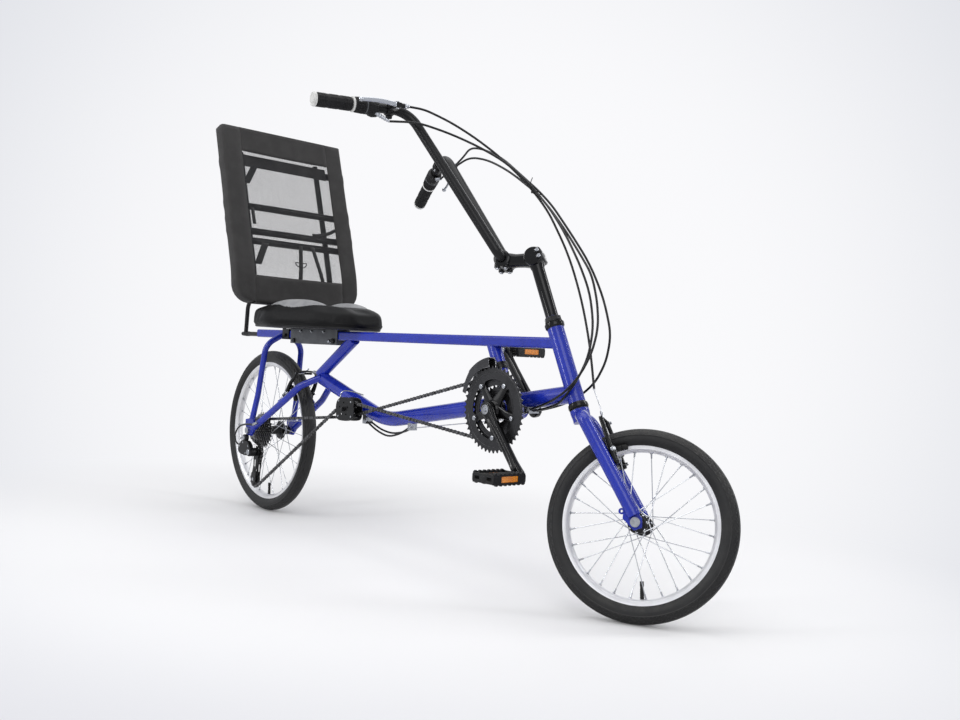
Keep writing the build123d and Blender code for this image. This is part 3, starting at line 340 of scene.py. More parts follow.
def mixColours(tree, factor, a, b):
    return addNode(tree, "Mix", {"data_type": "RGBA"}, {0: factor, 6: a, 7: b}).outputs[2]


def ramp(tree, value, low, high):
    settings = {"interpolation_type": "SMOOTHSTEP"}
    return addNode(tree, "MapRange", settings, {0: value, 1: low, 2: high}).outputs[0]


def useGroup(tree, group, **named):
    return addNode(tree, "Group", {"node_tree": group}, **named).outputs


def objectPlace(tree):
    return addNode(tree, "TexCoord").outputs["Object"]


def splitAxes(tree, vector):
    return addNode(tree, "SeparateXYZ", Vector=vector).outputs


def colour(r, g, b):
    # from screen values 0 to 255
    shares = (c / 255 for c in (r, g, b))
    return tuple(c / 12.92 if c <= 0.04045 else ((c + 0.055) / 1.055) ** 2.4 for c in shares) + (1.0,)


def startGroup(name, inputs, outputs):
    group = bpy.data.node_groups.new(name, "ShaderNodeTree")
    for label, kind, value in inputs:
        socket = group.interface.new_socket(label, in_out="INPUT", socket_type="NodeSocket" + kind)
        socket.default_value = value
    for label, kind in outputs:
        group.interface.new_socket(label, in_out="OUTPUT", socket_type="NodeSocket" + kind)
    return group, group.nodes.new("NodeGroupInput").outputs, group.nodes.new("NodeGroupOutput").inputs


# surface grain: slow blotches in colour and roughness, fine grain in height
def makeGrainGroup():
    tree, inside, out = startGroup(
        "Surface grain",
        (("Colour", "Color", (0.5, 0.5, 0.5, 1)), ("Tint", "Color", (0.4, 0.4, 0.4, 1)),
         ("Blotch Scale", "Float", 20.0), ("Grain Scale", "Float", 900.0),
         ("Roughness", "Float", 0.4), ("Spread", "Float", 0.1)),
        (("Colour", "Color"), ("Roughness", "Float"), ("Height", "Float")),
    )
    place = objectPlace(tree)
    scale = inside["Blotch Scale"]
    blotch = addNode(tree, "TexNoise", Vector=place, Scale=scale, Detail=4.0, Roughness=0.6).outputs[0]
    fine = addNode(tree, "TexNoise", Vector=place, Scale=inside["Grain Scale"], Detail=2.0).outputs[0]
    tinted = mixColours(tree, ramp(tree, blotch, 0.35, 0.7), inside["Colour"], inside["Tint"])
    spread = maths(tree, "MULTIPLY", inside["Spread"], 2.0)
    shift = maths(tree, "MULTIPLY", maths(tree, "SUBTRACT", blotch, 0.5), spread)
    feed(tree, out["Colour"], tinted)
    feed(tree, out["Roughness"], maths(tree, "ADD", inside["Roughness"], shift))
    feed(tree, out["Height"], fine)
    return tree


# edge wear: paler colour where the surface turns sharply, broken up by noise
def makeWearGroup():
    tree, inside, out = startGroup(
        "Edge wear",
        (("Colour", "Color", (0.1, 0.1, 0.1, 1)), ("Worn Colour", "Color", (0.5, 0.5, 0.5, 1)),
         ("Width", "Float", 0.001), ("Amount", "Float", 0.6)),
        (("Colour", "Color"), ("Mask", "Float")),
    )
    soft = addNode(tree, "Bevel", {"samples": 4}, Radius=inside["Width"]).outputs[0]
    true = addNode(tree, "NewGeometry").outputs["Normal"]
    dot = vectorMaths(tree, "DOT_PRODUCT", soft, true)["Value"]
    edge = ramp(tree, maths(tree, "SUBTRACT", 1.0, dot), 0.02, 0.2)
    chips = addNode(tree, "TexNoise", Vector=objectPlace(tree), Scale=160.0, Detail=3.0).outputs[0]
    chipped = maths(tree, "MULTIPLY", edge, ramp(tree, chips, 0.35, 0.62))
    mask = maths(tree, "MULTIPLY", chipped, inside["Amount"], clamp=True)
    feed(tree, out["Colour"], mixColours(tree, mask, inside["Colour"], inside["Worn Colour"]))
    feed(tree, out["Mask"], mask)
    return tree


# dust that settles where the surface looks up
def makeDustGroup():
    tree, inside, out = startGroup(
        "Settled dust",
        (("Colour", "Color", (0.1, 0.1, 0.1, 1)), ("Dust Colour", "Color", colour(150, 145, 135)),
         ("Amount", "Float", 0.15), ("Patch Scale", "Float", 60.0)),
        (("Colour", "Color"), ("Mask", "Float")),
    )
    upward = splitAxes(tree, addNode(tree, "NewGeometry").outputs["Normal"])["Z"]
    place, scale = objectPlace(tree), inside["Patch Scale"]
    patches = addNode(tree, "TexNoise", Vector=place, Scale=scale, Detail=5.0, Roughness=0.65).outputs[0]
    lying = maths(tree, "MULTIPLY", ramp(tree, upward, 0.1, 1.0), ramp(tree, patches, 0.3, 0.7))
    mask = maths(tree, "MULTIPLY", lying, inside["Amount"], clamp=True)
    feed(tree, out["Colour"], mixColours(tree, mask, inside["Colour"], inside["Dust Colour"]))
    feed(tree, out["Mask"], mask)
    return tree


# woven threads on the piece's flat layout, in metres: a mask of thread against gap, and a height
def makeWeaveGroup():
    tree, inside, out = startGroup(
        "Weave",
        (("Place", "Vector", (0, 0, 0)), ("Pitch", "Float", 0.002), ("Gap", "Float", 0.3)),
        (("Thread", "Float"), ("Height", "Float")),
    )
    axes, waves = splitAxes(tree, inside["Place"]), []
    for axis in ("X", "Y"):
        phase = maths(tree, "MULTIPLY", maths(tree, "DIVIDE", axes[axis], inside["Pitch"]), tau)
        waves.append(maths(tree, "ADD", maths(tree, "MULTIPLY", maths(tree, "SINE", phase), 0.5), 0.5))
    height = maths(tree, "MAXIMUM", *waves)
    feed(tree, out["Height"], height)
    feed(tree, out["Thread"], maths(tree, "GREATER_THAN", height, inside["Gap"]))
    return tree


grainGroup, wearGroup = makeGrainGroup(), makeWearGroup()
dustGroup, weaveGroup = makeDustGroup(), makeWeaveGroup()
finishes = {}


# base, tint and worn are screen colours; grain and blotch are scales per metre
def makeFinish(name, base, tint, rough=0.4, spread=0.08, metal=0.0, blotch=25.0, grain=900.0, bump=0.05,
               coat=0.0, coatRough=0.05, wear=0.0, worn=(150, 150, 152), wearWidth=0.0008, dust=0.0,
               sheen=0.0, specular=0.5):
    material = bpy.data.materials.new(name)
    material.use_nodes = True
    tree = material.node_tree
    sockets = tree.nodes["Principled BSDF"].inputs
    grained = useGroup(tree, grainGroup, Colour=colour(*base), Tint=colour(*tint), Blotch_Scale=blotch,
                       Grain_Scale=grain, Roughness=rough, Spread=spread)
    last = grained["Colour"]
    if wear:
        last = useGroup(tree, wearGroup, Colour=last, Worn_Colour=colour(*worn), Width=wearWidth,
                        Amount=wear)["Colour"]
    if dust:
        last = useGroup(tree, dustGroup, Colour=last, Amount=dust)["Colour"]
    feed(tree, sockets["Base Color"], last)
    feed(tree, sockets["Roughness"], grained["Roughness"])
    lumps = addNode(tree, "Bump", Strength=bump, Distance=0.0005, Height=grained["Height"])
    feed(tree, sockets["Normal"], lumps.outputs[0])
    sockets["Metallic"].default_value = metal
    sockets["Coat Weight"].default_value = coat
    sockets["Coat Roughness"].default_value = coatRough
    sockets["Sheen Weight"].default_value = sheen
    sockets["Specular IOR Level"].default_value = specular
    finishes[name] = material
    return tree


plainFinishes = {
    "bluePaint": dict(base=(24, 44, 160), tint=(18, 36, 146), rough=0.26, spread=0.05, coat=0.35,
                      coatRough=0.03, bump=0.02, grain=2600.0, dust=0.03, specular=0.3),
    "blackGloss": dict(base=(9, 9, 10), tint=(13, 13, 14), rough=0.16, spread=0.06, coat=0.15, coatRough=0.04,
                       bump=0.02, wear=0.25, worn=(90, 90, 92), specular=0.2),
    "blackSatin": dict(base=(15, 15, 16), tint=(21, 21, 22), rough=0.32, grain=1800.0, wear=0.25,
                       worn=(90, 90, 92), specular=0.25),
    "blackPlastic": dict(base=(18, 18, 19), tint=(25, 25, 26), rough=0.46, spread=0.1, bump=0.25,
                         grain=1500.0, dust=0.08, specular=0.25),
    "gripRubber": dict(base=(17, 17, 18), tint=(24, 24, 25), rough=0.62, bump=0.3, grain=1300.0, dust=0.06,
                       specular=0.25),
    "whitePlastic": dict(base=(206, 206, 204), tint=(192, 192, 190), rough=0.42, spread=0.06, bump=0.08),
    "alloy": dict(base=(186, 189, 194), tint=(170, 173, 178), rough=0.26, metal=1.0, bump=0.06, grain=1600.0),
    "polishedSteel": dict(base=(205, 207, 210), tint=(186, 188, 192), rough=0.16, metal=1.0, bump=0.03),
    "boltSteel": dict(base=(178, 180, 184), tint=(150, 152, 156), rough=0.24, spread=0.1, metal=1.0,
                      blotch=80.0),
    "chainSteel": dict(base=(92, 92, 93), tint=(52, 51, 51), rough=0.32, spread=0.14, metal=0.9, bump=0.08,
                       blotch=60.0, dust=0.04),
    "cogSteel": dict(base=(140, 140, 142), tint=(92, 90, 88), rough=0.32, spread=0.12, metal=0.95, bump=0.06,
                     blotch=50.0),
    "ringAlloy": dict(base=(48, 48, 50), tint=(34, 34, 36), rough=0.34, spread=0.1, metal=0.6, bump=0.06,
                      wear=0.6, wearWidth=0.0006),
    "cageSteel": dict(base=(74, 74, 76), tint=(58, 58, 60), rough=0.3, spread=0.1, metal=0.8, bump=0.06,
                      wear=0.9, worn=(205, 205, 208), wearWidth=0.0012),
    "greyBracket": dict(base=(92, 94, 97), tint=(80, 82, 85), rough=0.45, spread=0.1, metal=0.6, bump=0.1,
                        grain=1400.0, wear=0.3),
    "seatCover": dict(base=(11, 11, 12), tint=(15, 15, 16), rough=0.5, bump=0.3, grain=700.0, dust=0.01,
                      specular=0.13),
    "seatPanel": dict(base=(134, 135, 137), tint=(112, 113, 116), rough=0.6, bump=0.4, grain=700.0,
                      sheen=0.1),
    "strapCloth": dict(base=(24, 24, 25), tint=(33, 33, 34), rough=0.8, spread=0.05, bump=0.5, grain=1100.0,
                       sheen=0.2),
    "amberLens": dict(base=(226, 138, 34), tint=(208, 118, 22), rough=0.14, spread=0.05, coat=0.8, bump=0.02),
}
for name, values in plainFinishes.items():
    makeFinish(name, **values)


def addRelief(tree, height, strength, distance, overGrain=True):
    # a second bump, laid over the grain or in its place
    target = tree.nodes["Principled BSDF"].inputs["Normal"]
    if overGrain:
        target = target.links[0].from_node.inputs["Normal"]
    feed(tree, target, addNode(tree, "Bump", Strength=strength, Distance=distance, Height=height).outputs[0])


def flatPlace(tree):
    return addNode(tree, "UVMap", {"uv_map": "flat"}).outputs[0]


# tyre rubber: fine ribs moulded round the sidewall, scuffed and dusty on the tread
def makeTyreRubber():
    tree = makeFinish("tyreRubber", (20, 20, 21), (29, 29, 29), rough=0.5, spread=0.1, bump=0.3, grain=1100.0,
                      dust=0.07, specular=0.35)
    ribPitch = 0.0016
    along = splitAxes(tree, flatPlace(tree))["Y"]
    addRelief(tree, maths(tree, "SINE", maths(tree, "MULTIPLY", along, tau / ribPitch)), 0.25, 0.0003)


# rims: fine turning lines round the wheel
def makeTurnedAlloy():
    tree = makeFinish("turnedAlloy", (226, 226, 228), (210, 210, 212), spread=0.06, metal=0.65)
    along = splitAxes(tree, flatPlace(tree))["Y"]
    lines = addNode(tree, "TexNoise", {"noise_dimensions": "1D"}, W=along, Scale=6000.0,
                    Detail=2.0).outputs[0]
    addRelief(tree, lines, 0.16, 0.0002)


# open mesh cloth of the backrest: threads with real gaps between them
def makeMeshCloth():
    tree = makeFinish("meshCloth", (44, 44, 46), (56, 56, 58), rough=0.72, spread=0.06, bump=0.2,
                      specular=0.3)
    threads = useGroup(tree, weaveGroup, Place=flatPlace(tree), Pitch=0.0032, Gap=0.942)
    feed(tree, tree.nodes["Principled BSDF"].inputs["Alpha"], threads["Thread"])
    addRelief(tree, threads["Height"], 0.6, 0.0006, False)


# closely woven cloth of the backrest's border and bands
def makeBorderCloth():
    tree = makeFinish("borderCloth", (42, 41, 41), (50, 49, 49), rough=0.8, spread=0.06, bump=0.2, sheen=0.06,
                      specular=0.3)
    threads = useGroup(tree, weaveGroup, Place=flatPlace(tree), Pitch=0.0011, Gap=0.1)
    addRelief(tree, threads["Height"], 0.5, 0.0003, False)


makeTyreRubber()
makeTurnedAlloy()
makeMeshCloth()
makeBorderCloth()


# cables: black sleeve, with bare wire inside the given box of the layout
def makeCableFinish(name, low, high):
    tree = makeFinish(name, (12, 12, 13), (17, 17, 18), rough=0.3, spread=0.06, bump=0.04, grain=1500.0,
                      specular=0.3)
    sockets = tree.nodes["Principled BSDF"].inputs
    place, bare = splitAxes(tree, objectPlace(tree)), 1.0
    for axis, a, b, origin in zip("XYZ", low, high, rowOrigin):
        within = maths(tree, "COMPARE", place[axis], ((a + b) / 2 - origin) / 1000, (b - a) / 2000)
        bare = maths(tree, "MULTIPLY", within, bare)
    sleeve = sockets["Base Color"].links[0].from_socket
    feed(tree, sockets["Base Color"], mixColours(tree, bare, sleeve, colour(190, 192, 196)))
    feed(tree, sockets["Metallic"], bare)


print("camera, floor and lights")
studio = {
    "cameraAt": (2.2753, -1.4581, -0.1176),
    "yaw": 138.291,
    "pitch": -0.258,
    "roll": 2.960,
    "focalPixels": 951.5,
    "imageWidth": 960,
    "floorTop": -0.617,
    "floorHalf": 14.0,
    "floorColour": 0.84,
    "worldGrey": 0.4,
    "faceOn": (-0.746, 0.665, 0.02),
    "shadowMiddle": (0.3, 0.0),
    "shadowReach": (1.5, 1.1),
    # name, place, aimed at, width, height, watts: soft lamps, and two tall strips for the highlights
    "lamps": (
        ("overhead", (0.3, -0.4, 2.9), (0.3, 0, -0.2), 3.2, 3.2, 62.0),
        ("front_left", (3.4, -2.2, 1.5), (0.4, 0, -0.1), 2.2, 2.2, 34.0),
        ("side", (-1.6, -3.0, 1.2), (0.1, 0, -0.1), 2.0, 2.0, 22.0),
        ("behind", (-1.2, 3.2, 1.8), (0.3, 0, 0.0), 2.6, 2.6, 18.0),
        ("left_strip", (-0.3, -2.7, 1.0), (0.3, 0, 0.1), 0.22, 2.0, 20.0),
        ("right_strip", (2.1, 1.7, 1.1), (0.5, 0, 0.1), 0.22, 2.0, 20.0),
    ),
}
scene.view_settings.view_transform = "Standard"


def aimCamera():
    yaw, pitch, roll = (math.radians(studio[key]) for key in ("yaw", "pitch", "roll"))
    ahead = Vector((math.cos(pitch) * math.cos(yaw), math.cos(pitch) * math.sin(yaw), math.sin(pitch)))
    right = ahead.cross(Vector((0, 0, 1))).normalized()
    up = right.cross(ahead)
    tiltedRight = right * math.cos(roll) + up * math.sin(roll)
    tiltedUp = up * math.cos(roll) - right * math.sin(roll)
    lens = bpy.data.cameras.new("camera")
    lens.sensor_width = 36.0
    lens.lens = studio["focalPixels"] * lens.sensor_width / studio["imageWidth"]
    lens.clip_end = 60.0
    camera = bpy.data.objects.new("camera", lens)
    aimed = Matrix((tiltedRight, tiltedUp, -ahead)).transposed().to_4x4()
    camera.matrix_world = Matrix.Translation(studio["cameraAt"]) @ aimed
    scene.collection.objects.link(camera)
    scene.camera = camera


def backgroundShader(tree, lit, seen):
    # the shader seen by the camera and in reflections, with the lit one left for everything else
    path = addNode(tree, "LightPath").outputs
    mirrored = maths(tree, "MAXIMUM", path["Is Glossy Ray"], path["Is Transmission Ray"])
    looks = maths(tree, "MAXIMUM", path["Is Camera Ray"], mirrored)
    return addNode(tree, "MixShader", None, {0: looks, 1: lit, 2: seen}).outputs[0]


# pale backdrop by direction of sight, brightest behind the bicycle
def makeBackdropGroup():
    tree, inside, out = startGroup("Backdrop tone", (("Direction", "Vector", (0, 1, 0)),),
                                   (("Colour", "Color"),))
    facing = vectorMaths(tree, "DOT_PRODUCT", inside["Direction"], studio["faceOn"])["Value"]
    near = ramp(tree, facing, 0.80, 0.985)
    feed(tree, out["Colour"], mixColours(tree, near, colour(222, 224, 230), colour(250, 250, 252)))
    return tree


def makeWorld():
    scene.world = bpy.data.worlds.new("studio air")
    scene.world.use_nodes = True
    tree = scene.world.node_tree
    tree.nodes.clear()
    grey = studio["worldGrey"]
    lit = addNode(tree, "Background", Color=(grey, grey, grey * 1.02, 1), Strength=1.0).outputs[0]
    shade = useGroup(tree, backdropGroup, Direction=addNode(tree, "TexCoord").outputs["Generated"])["Colour"]
    seen = addNode(tree, "Background", Color=shade, Strength=1.0).outputs[0]
    addNode(tree, "OutputWorld", None, {0: backgroundShader(tree, lit, seen)})


def makeFloor():
    bm = bmesh.new()
    bmesh.ops.create_grid(bm, x_segments=24, y_segments=24, size=studio["floorHalf"])
    mesh = bpy.data.meshes.new("floor")
    bm.to_mesh(mesh)
    bm.free()
    floor = bpy.data.objects.new("floor", mesh)
    floor.location = (*studio["shadowMiddle"], studio["floorTop"])
    scene.collection.objects.link(floor)
    material = bpy.data.materials.new("studioFloor")
    material.use_nodes = True
    mesh.materials.append(material)
    tree = material.node_tree
    shader = tree.nodes["Principled BSDF"]
    shader.inputs["Roughness"].default_value = 0.75
    grey, place = studio["floorColour"], objectPlace(tree)
    cloudy = addNode(tree, "TexNoise", Vector=place, Scale=1.4, Detail=2.0).outputs[0]
    shade = mixColours(tree, cloudy, (grey, grey, grey * 1.01, 1), (grey * 0.97, grey * 0.97, grey * 0.98, 1))
    feed(tree, shader.inputs["Base Color"], shade)
    # away from the bicycle's shadow each place of the floor glows with the backdrop's tone beyond it, with
    # painted shade where the sight looks steeply down
    position = addNode(tree, "NewGeometry").outputs["Position"]
    beyond = vectorMaths(tree, "NORMALIZE", vectorMaths(tree, "SUBTRACT", position, studio["cameraAt"])[0])[0]
    tone = useGroup(tree, backdropGroup, Direction=beyond)["Colour"]
    # painted shade: the floor's seen tone darkens towards (226, 227, 233) where the sight looks steeply down,
    # towards the bottom of the view
    down = maths(tree, "MULTIPLY", splitAxes(tree, beyond)["Z"], -1.0)
    tone = mixColours(tree, ramp(tree, down, 0.2, 0.36), tone, colour(226, 227, 233))
    axes, squares = splitAxes(tree, place), []
    for axis, reach in zip("XY", studio["shadowReach"]):
        share = maths(tree, "DIVIDE", axes[axis], reach)
        squares.append(maths(tree, "MULTIPLY", share, share))
    away = ramp(tree, maths(tree, "SQRT", maths(tree, "ADD", *squares)), 0.45, 1.3)
    glow = addNode(tree, "Emission", Color=tone, Strength=1.0).outputs[0]
    blended = addNode(tree, "MixShader", None, {0: away, 1: shader.outputs[0], 2: glow}).outputs[0]
    surface = tree.nodes["Material Output"].inputs[0]
    feed(tree, surface, backgroundShader(tree, shader.outputs[0], blended))


aimCamera()
backdropGroup = makeBackdropGroup()
makeWorld()
makeFloor()
for name, at, aim, wide, tall, watts in studio["lamps"]:
    lamp = bpy.data.lights.new(name, "AREA")
    lamp.shape, lamp.size, lamp.size_y, lamp.energy = "RECTANGLE", wide, tall, watts
    item = bpy.data.objects.new(name, lamp)
    item.location = at
    item.rotation_euler = (Vector(aim) - Vector(at)).to_track_quat("-Z", "Y").to_euler()
    scene.collection.objects.link(item)


print("wheels")
wheelForm = {
    "tyreHalf": 19.0,
    "seatDepth": 13.5,
    "rimHalf": 12.0,
    "rimDepth": 15.0,
    "spokes": 28,
    "treadBlocks": 66,
    "grooves": (-10.2, -5.2, 0.0, 5.2, 10.2),
    "slit": 1.9,
}
wheels = (
    {"name": "rear", "at": rearAxle, "centreRadius": 222.0, "flanges": (-22.9, 34.0), "flangeRadius": 28.0,
     "barrel": 17.0, "half": 61.5, "valve": 273.2},
    {"name": "front", "at": frontAxle, "centreRadius": 170.5, "flanges": (-32.0, 32.0), "flangeRadius": 20.0,
     "barrel": 14.0, "half": 44.0, "valve": 279.6},
)


def turnedRing(centre, profile, segments, sink=None):
    # ring from (y, radius) corners with its flat layout: metres round the ring, then round the profile
    shape, run, count = Shape(), [0.0], len(profile)
    for (y0, r0), (y1, r1) in zip(profile, profile[1:] + profile[:1]):
        run.append(run[-1] + math.hypot(y1 - y0, r1 - r0) / 1000)
    for i in range(segments):
        for j, (y, r) in enumerate(profile):
            shape.verts.append(spinPoint(centre, 360.0 * i / segments, r - (sink(i, j) if sink else 0.0), y))
    for i in range(segments):
        k = (i + 1) % segments
        u0, u1 = (n * tau * profile[0][1] / segments / 1000 for n in (i, i + 1))
        for j in range(count):
            n = (j + 1) % count
            v0, v1 = run[j], run[j + 1]
            shape.layout[len(shape.faces)] = ((u0, v0), (u1, v0), (u1, v1), (u0, v1))
            shape.faces.append((i * count + j, k * count + j, k * count + n, i * count + n))
    return shape


def makeTyre(wheel):
    half, centre = wheelForm["tyreHalf"], wheel["centreRadius"]
    foot = (wheelForm["rimHalf"] - 0.8, centre - wheelForm["seatDepth"] - 3.0)
    profile, shoulder = [foot], [False]
    for degrees in range(-24, 205, 4):
        a = math.radians(degrees)
        radius, rise = half, math.sin(a)
        if rise > 0.55:
            # grooves that run round the tread, deeper at its middle
            for groove in wheelForm["grooves"]:
                radius -= 1.25 * max(0.0, 1.0 - abs(half * math.cos(a) - groove) / 0.9)
        elif 0.14 < rise < 0.3:
            # raised line between the tread and the sidewall
            radius += 1.0
        elif rise < -0.1:
            radius += 0.2
        profile.append((radius * math.cos(a), centre + radius * rise))
        shoulder.append(0.3 < rise < 0.86)
    profile.append((-foot[0], foot[1]))
    shoulder.append(False)

    def slits(i, j):
        return wheelForm["slit"] if shoulder[j] and (i + j // 2) % 3 == 0 else 0.0

    shape = turnedRing(wheel["at"], profile, wheelForm["treadBlocks"] * 3, slits)
    shape.piece(wheel["name"] + "Tyre", wheel["body"], "tyreRubber", 30.0, "tyre", wheel["name"] + "_tyre")


def makeRim(wheel):
    half, edge = wheelForm["rimHalf"], wheel["centreRadius"] - wheelForm["seatDepth"]
    floor = edge - wheelForm["rimDepth"]
    side = [(half - 1.6, edge - 4.0), (half - 1.6, edge - 0.6), (half - 0.9, edge), (half - 0.2, edge - 0.2),
            (half, edge - 0.8), (half - 0.35, edge - 1.6), (half - 0.35, edge - 8.6), (half, edge - 9.2),
            (half - 0.6, edge - 10.0), (half - 3.4, edge - 13.0), (half - 6.4, floor + 0.5),
            (half - 8.6, floor)]
    shape = turnedRing(wheel["at"], side + [(-y, r) for y, r in reversed(side)], 128)
    shape.piece(wheel["name"] + "Rim", wheel["body"], "turnedAlloy", 28.0, "rim", wheel["name"] + "_rim")


def makeSpokeEnds(wheel):
    nipples, heads, at = Shape(), Shape(), wheel["at"]
    floor = wheel["centreRadius"] - wheelForm["seatDepth"] - wheelForm["rimDepth"]
    for number in range(wheelForm["spokes"]):
        side = number % 2
        lean = 1 if number // 2 % 2 == 0 else -1
        rimAngle = 360.0 * number / wheelForm["spokes"]
        hubAngle = rimAngle + lean * 68
        flange, bend = wheel["flanges"][side], wheel["flangeRadius"] - 2.6
        outer = spinPoint(at, rimAngle, floor + 0.6, 3.0 if side else -3.0)
        inner = spinPoint(at, hubAngle, wheel["flangeRadius"], flange + lean * 1.52)
        way = (inner - outer).normalized()
        nipples.knob(outer - way, outer + way * 1.6, 3.3, 0.5, 12)
        nipples.rod(outer + way * 1.6, outer + way * 11.0, 1.9, 8, 1.55)
        elbow, far, near = (spinPoint(at, hubAngle, bend, flange + lean * off) for off in (3.1, -3.6, -2.3))
        heads.knob(far, near, 1.9, 0.5, 10)
        heads.sweep(smoothPath([inner + way * -4, inner, elbow], 3), 0.95, 8)
    nipples.piece(wheel["name"] + "Nipples", wheel["body"], "boltSteel", 40.0, "rim")
    heads.piece(wheel["name"] + "SpokeHeads", wheel["body"], "polishedSteel", 40.0, "spoke")
    valve = Shape()
    foot = spinPoint(at, wheel["valve"], floor, 0)
    inwards = (at - foot).normalized()
    valve.rod(foot - inwards, foot + inwards * 24, 3.9, 16, 3.5)
    valve.knob(foot + inwards * 24, foot + inwards * 34, 4.0, 0.8, 16)
    for ridge in range(5):
        valve.knob(foot + inwards * (3 + ridge * 3.6), foot + inwards * (4.6 + ridge * 3.6), 4.3, 0.5, 16)
    valve.piece(wheel["name"] + "Valve", wheel["body"], "blackPlastic", 35.0, "rim")


def makeHub(wheel):
    low, high = wheel["flanges"]
    barrel, flange, half = wheel["barrel"], wheel["flangeRadius"], wheel["half"]
    # y, and radius as a share of the barrel's
    outside = ((0.0, 0.72), (2.0, 0.8))
    left = [(-half + y, barrel * share) for y, share in outside]
    left += [(low - 5.0, barrel * 0.84), (low - 3.0, barrel * 1.02)]
    right = [(high + 3.0, barrel * 1.02), (high + 5.0, barrel * 0.84)]
    right += [(half - y, barrel * share) for y, share in reversed(outside)]
    middle = [(low + 3.4, barrel * 0.98), (low + 8.0, barrel * 0.8), ((low + high) / 2, barrel * 0.74),
              (high - 8.0, barrel * 0.8), (high - 3.4, barrel * 0.98)]
    disc = ((-2.4, 4.6), (-2.4, 0.8), (-1.6, 0.0), (1.6, 0.0), (2.4, 0.8), (2.4, 4.6))
    discs = [[(place + y, flange - drop) for y, drop in disc] for place in (low, high)]
    profile = [(-half, 5.4)] + left + discs[0] + middle + discs[1] + right + [(half, 5.4)]
    shape = turnedRing(wheel["at"], profile, 64)
    shape.piece(wheel["name"] + "Hub", wheel["body"], "blackSatin", 32.0, "hub", wheel["name"] + "_hub")


for wheel in wheels:
    wheel["body"] = wheel["name"] + "_wheel"
    makeTyre(wheel)
    makeRim(wheel)
    makeSpokeEnds(wheel)
    makeHub(wheel)


print("chain, rings and cogs")
drive = {
    "pitch": 12.7,
    "plateHeight": 8.2,
    "plateThick": 1.0,
    "innerHalf": 1.25,
    "rollerRadius": 3.6,
    "toothRoot": 3.75,
    "crankAngle": -50.1,
    "crankLength": 170.0,
    "crankInner": 66.0,
    "cogs": (12, 14, 16, 18, 20, 22, 24, 26),
    "outerCogY": -59.0,
    "cogSpacing": 4.8,
    "engagedCog": 2,
    # teeth, y, radius inside, radius of the bolt circle
    "rings": ((46, -55.6, 66.0, 62.0), (36, -48.0, 52.5, 62.0), (26, -40.4, 29.0, 34.5)),
    "spiderReach": 62.0,
}
engagedY = drive["outerCogY"] + drive["engagedCog"] * drive["cogSpacing"]
# in the order of travel: place, teeth, turn (1 clockwise seen from the right)
chainWheels = (
    (rearAxle + aside(engagedY), 16, 1),
    (idlerAt + aside(-44.0), 10, -1),
    (shell + aside(-48.0), 36, 1),
    (idlerAt + aside(-55.0), 10, -1),
    (tensionAt + aside(engagedY), 11, 1),
    (guideAt + aside(engagedY), 11, -1),
)


def pitchRadius(teeth):
    return drive["pitch"] / (2 * math.sin(math.pi / teeth))


def runHeading(first, second):
    step = second[0] - first[0]
    reach = first[2] * pitchRadius(first[1]) - second[2] * pitchRadius(second[1])
    return math.atan2(step.z, step.x) - math.asin(reach / math.hypot(step.x, step.z))


def touchPoint(wheel, heading):
    # where chain that heads this way lies on the wheel
    centre, teeth, turned = wheel
    return centre + polar(heading + turned * tau / 4, pitchRadius(teeth))


def chainStations():
    # the loop as round and straight runs: length, wheel or two ends, and the heading at a round run's start
    following = chainWheels[1:] + chainWheels[:1]
    headings = [runHeading(*pair) for pair in zip(chainWheels, following)]
    runs = []
    for i, wheel in enumerate(chainWheels):
        ends = [touchPoint(w, headings[i]) for w in (wheel, following[i])]
        bend = (headings[i - 1] - headings[i]) * wheel[2] % tau
        runs.append((bend * pitchRadius(wheel[1]), wheel, headings[i - 1]))
        runs.append(((ends[1] - ends[0]).length, ends, None))
    return runs


chainRuns = chainStations()
chainLength = sum(run[0] for run in chainRuns)
linkCount = 2 * round(chainLength / drive["pitch"] / 2)
linkPitch = chainLength / linkCount


def chainPlace(distance):
    distance %= chainLength
    for length, place, heading in chainRuns:
        if distance <= length:
            if heading is None:
                return place[0].lerp(place[1], distance / length)
            return touchPoint(place, heading - place[2] * distance / pitchRadius(place[1]))
        distance -= length
    return place[1]


def wheelPhase(index):
    # the angle of a pin near the middle of the chain's wrap on that wheel
    middle = sum(run[0] for run in chainRuns[: index * 2]) + chainRuns[index * 2][0] / 2
    pin = chainPlace(round(middle / linkPitch) * linkPitch) - chainWheels[index][0]
    return math.atan2(pin.z, pin.x)


def makeChain():
    plates, rollers = Shape(), Shape()
    half, inner, thick = drive["plateHeight"] / 2, drive["innerHalf"], drive["plateThick"]
    waist = half * 0.72
    outline = []
    for end, start, dip in ((0, tau / 4, -waist), (1, -tau / 4, waist)):
        turns = [start + math.pi * step / 4 for step in range(5)]
        outline += [(end, half * math.cos(a), half * math.sin(a)) for a in turns] + [(0.5, 0.0, dip)]
    reach = inner + thick * 2 + 0.45
    pinForm = [(-reach, 0.01), (-reach, 1.6), (reach, 1.6), (reach, 0.01)]
    radius = drive["rollerRadius"]
    rollerForm = [(-inner, 1.7), (-inner, radius), (inner, radius), (inner, 1.7)]
    pins = [chainPlace(i * linkPitch) for i in range(linkCount)]
    for i in range(linkCount):
        a, b = pins[i], pins[(i + 1) % linkCount]
        ahead = (b - a).normalized()
        up = ahead.cross(sideAxis).normalized()
        for sign in (-1, 1):
            near = sign * (inner if i % 2 == 0 else inner + thick + 0.08)
            rings = []
            for depth in (near, near + sign * thick):
                rings.append([a.lerp(b, t) + ahead * along + up * high + aside(depth)
                              for t, along, high in outline])
            plates.loft(rings)
        rollers.lathe(a, sideAxis, pinForm, 8, False)
        rollers.lathe(a, sideAxis, rollerForm, 10, False)
    plates.piece("chainPlates", "frame", "chainSteel", 40.0, "dark_steel", "chain", weld=False)
    rollers.piece("chainRollers", "frame", "cogSteel", 40.0, "dark_steel", weld=False)


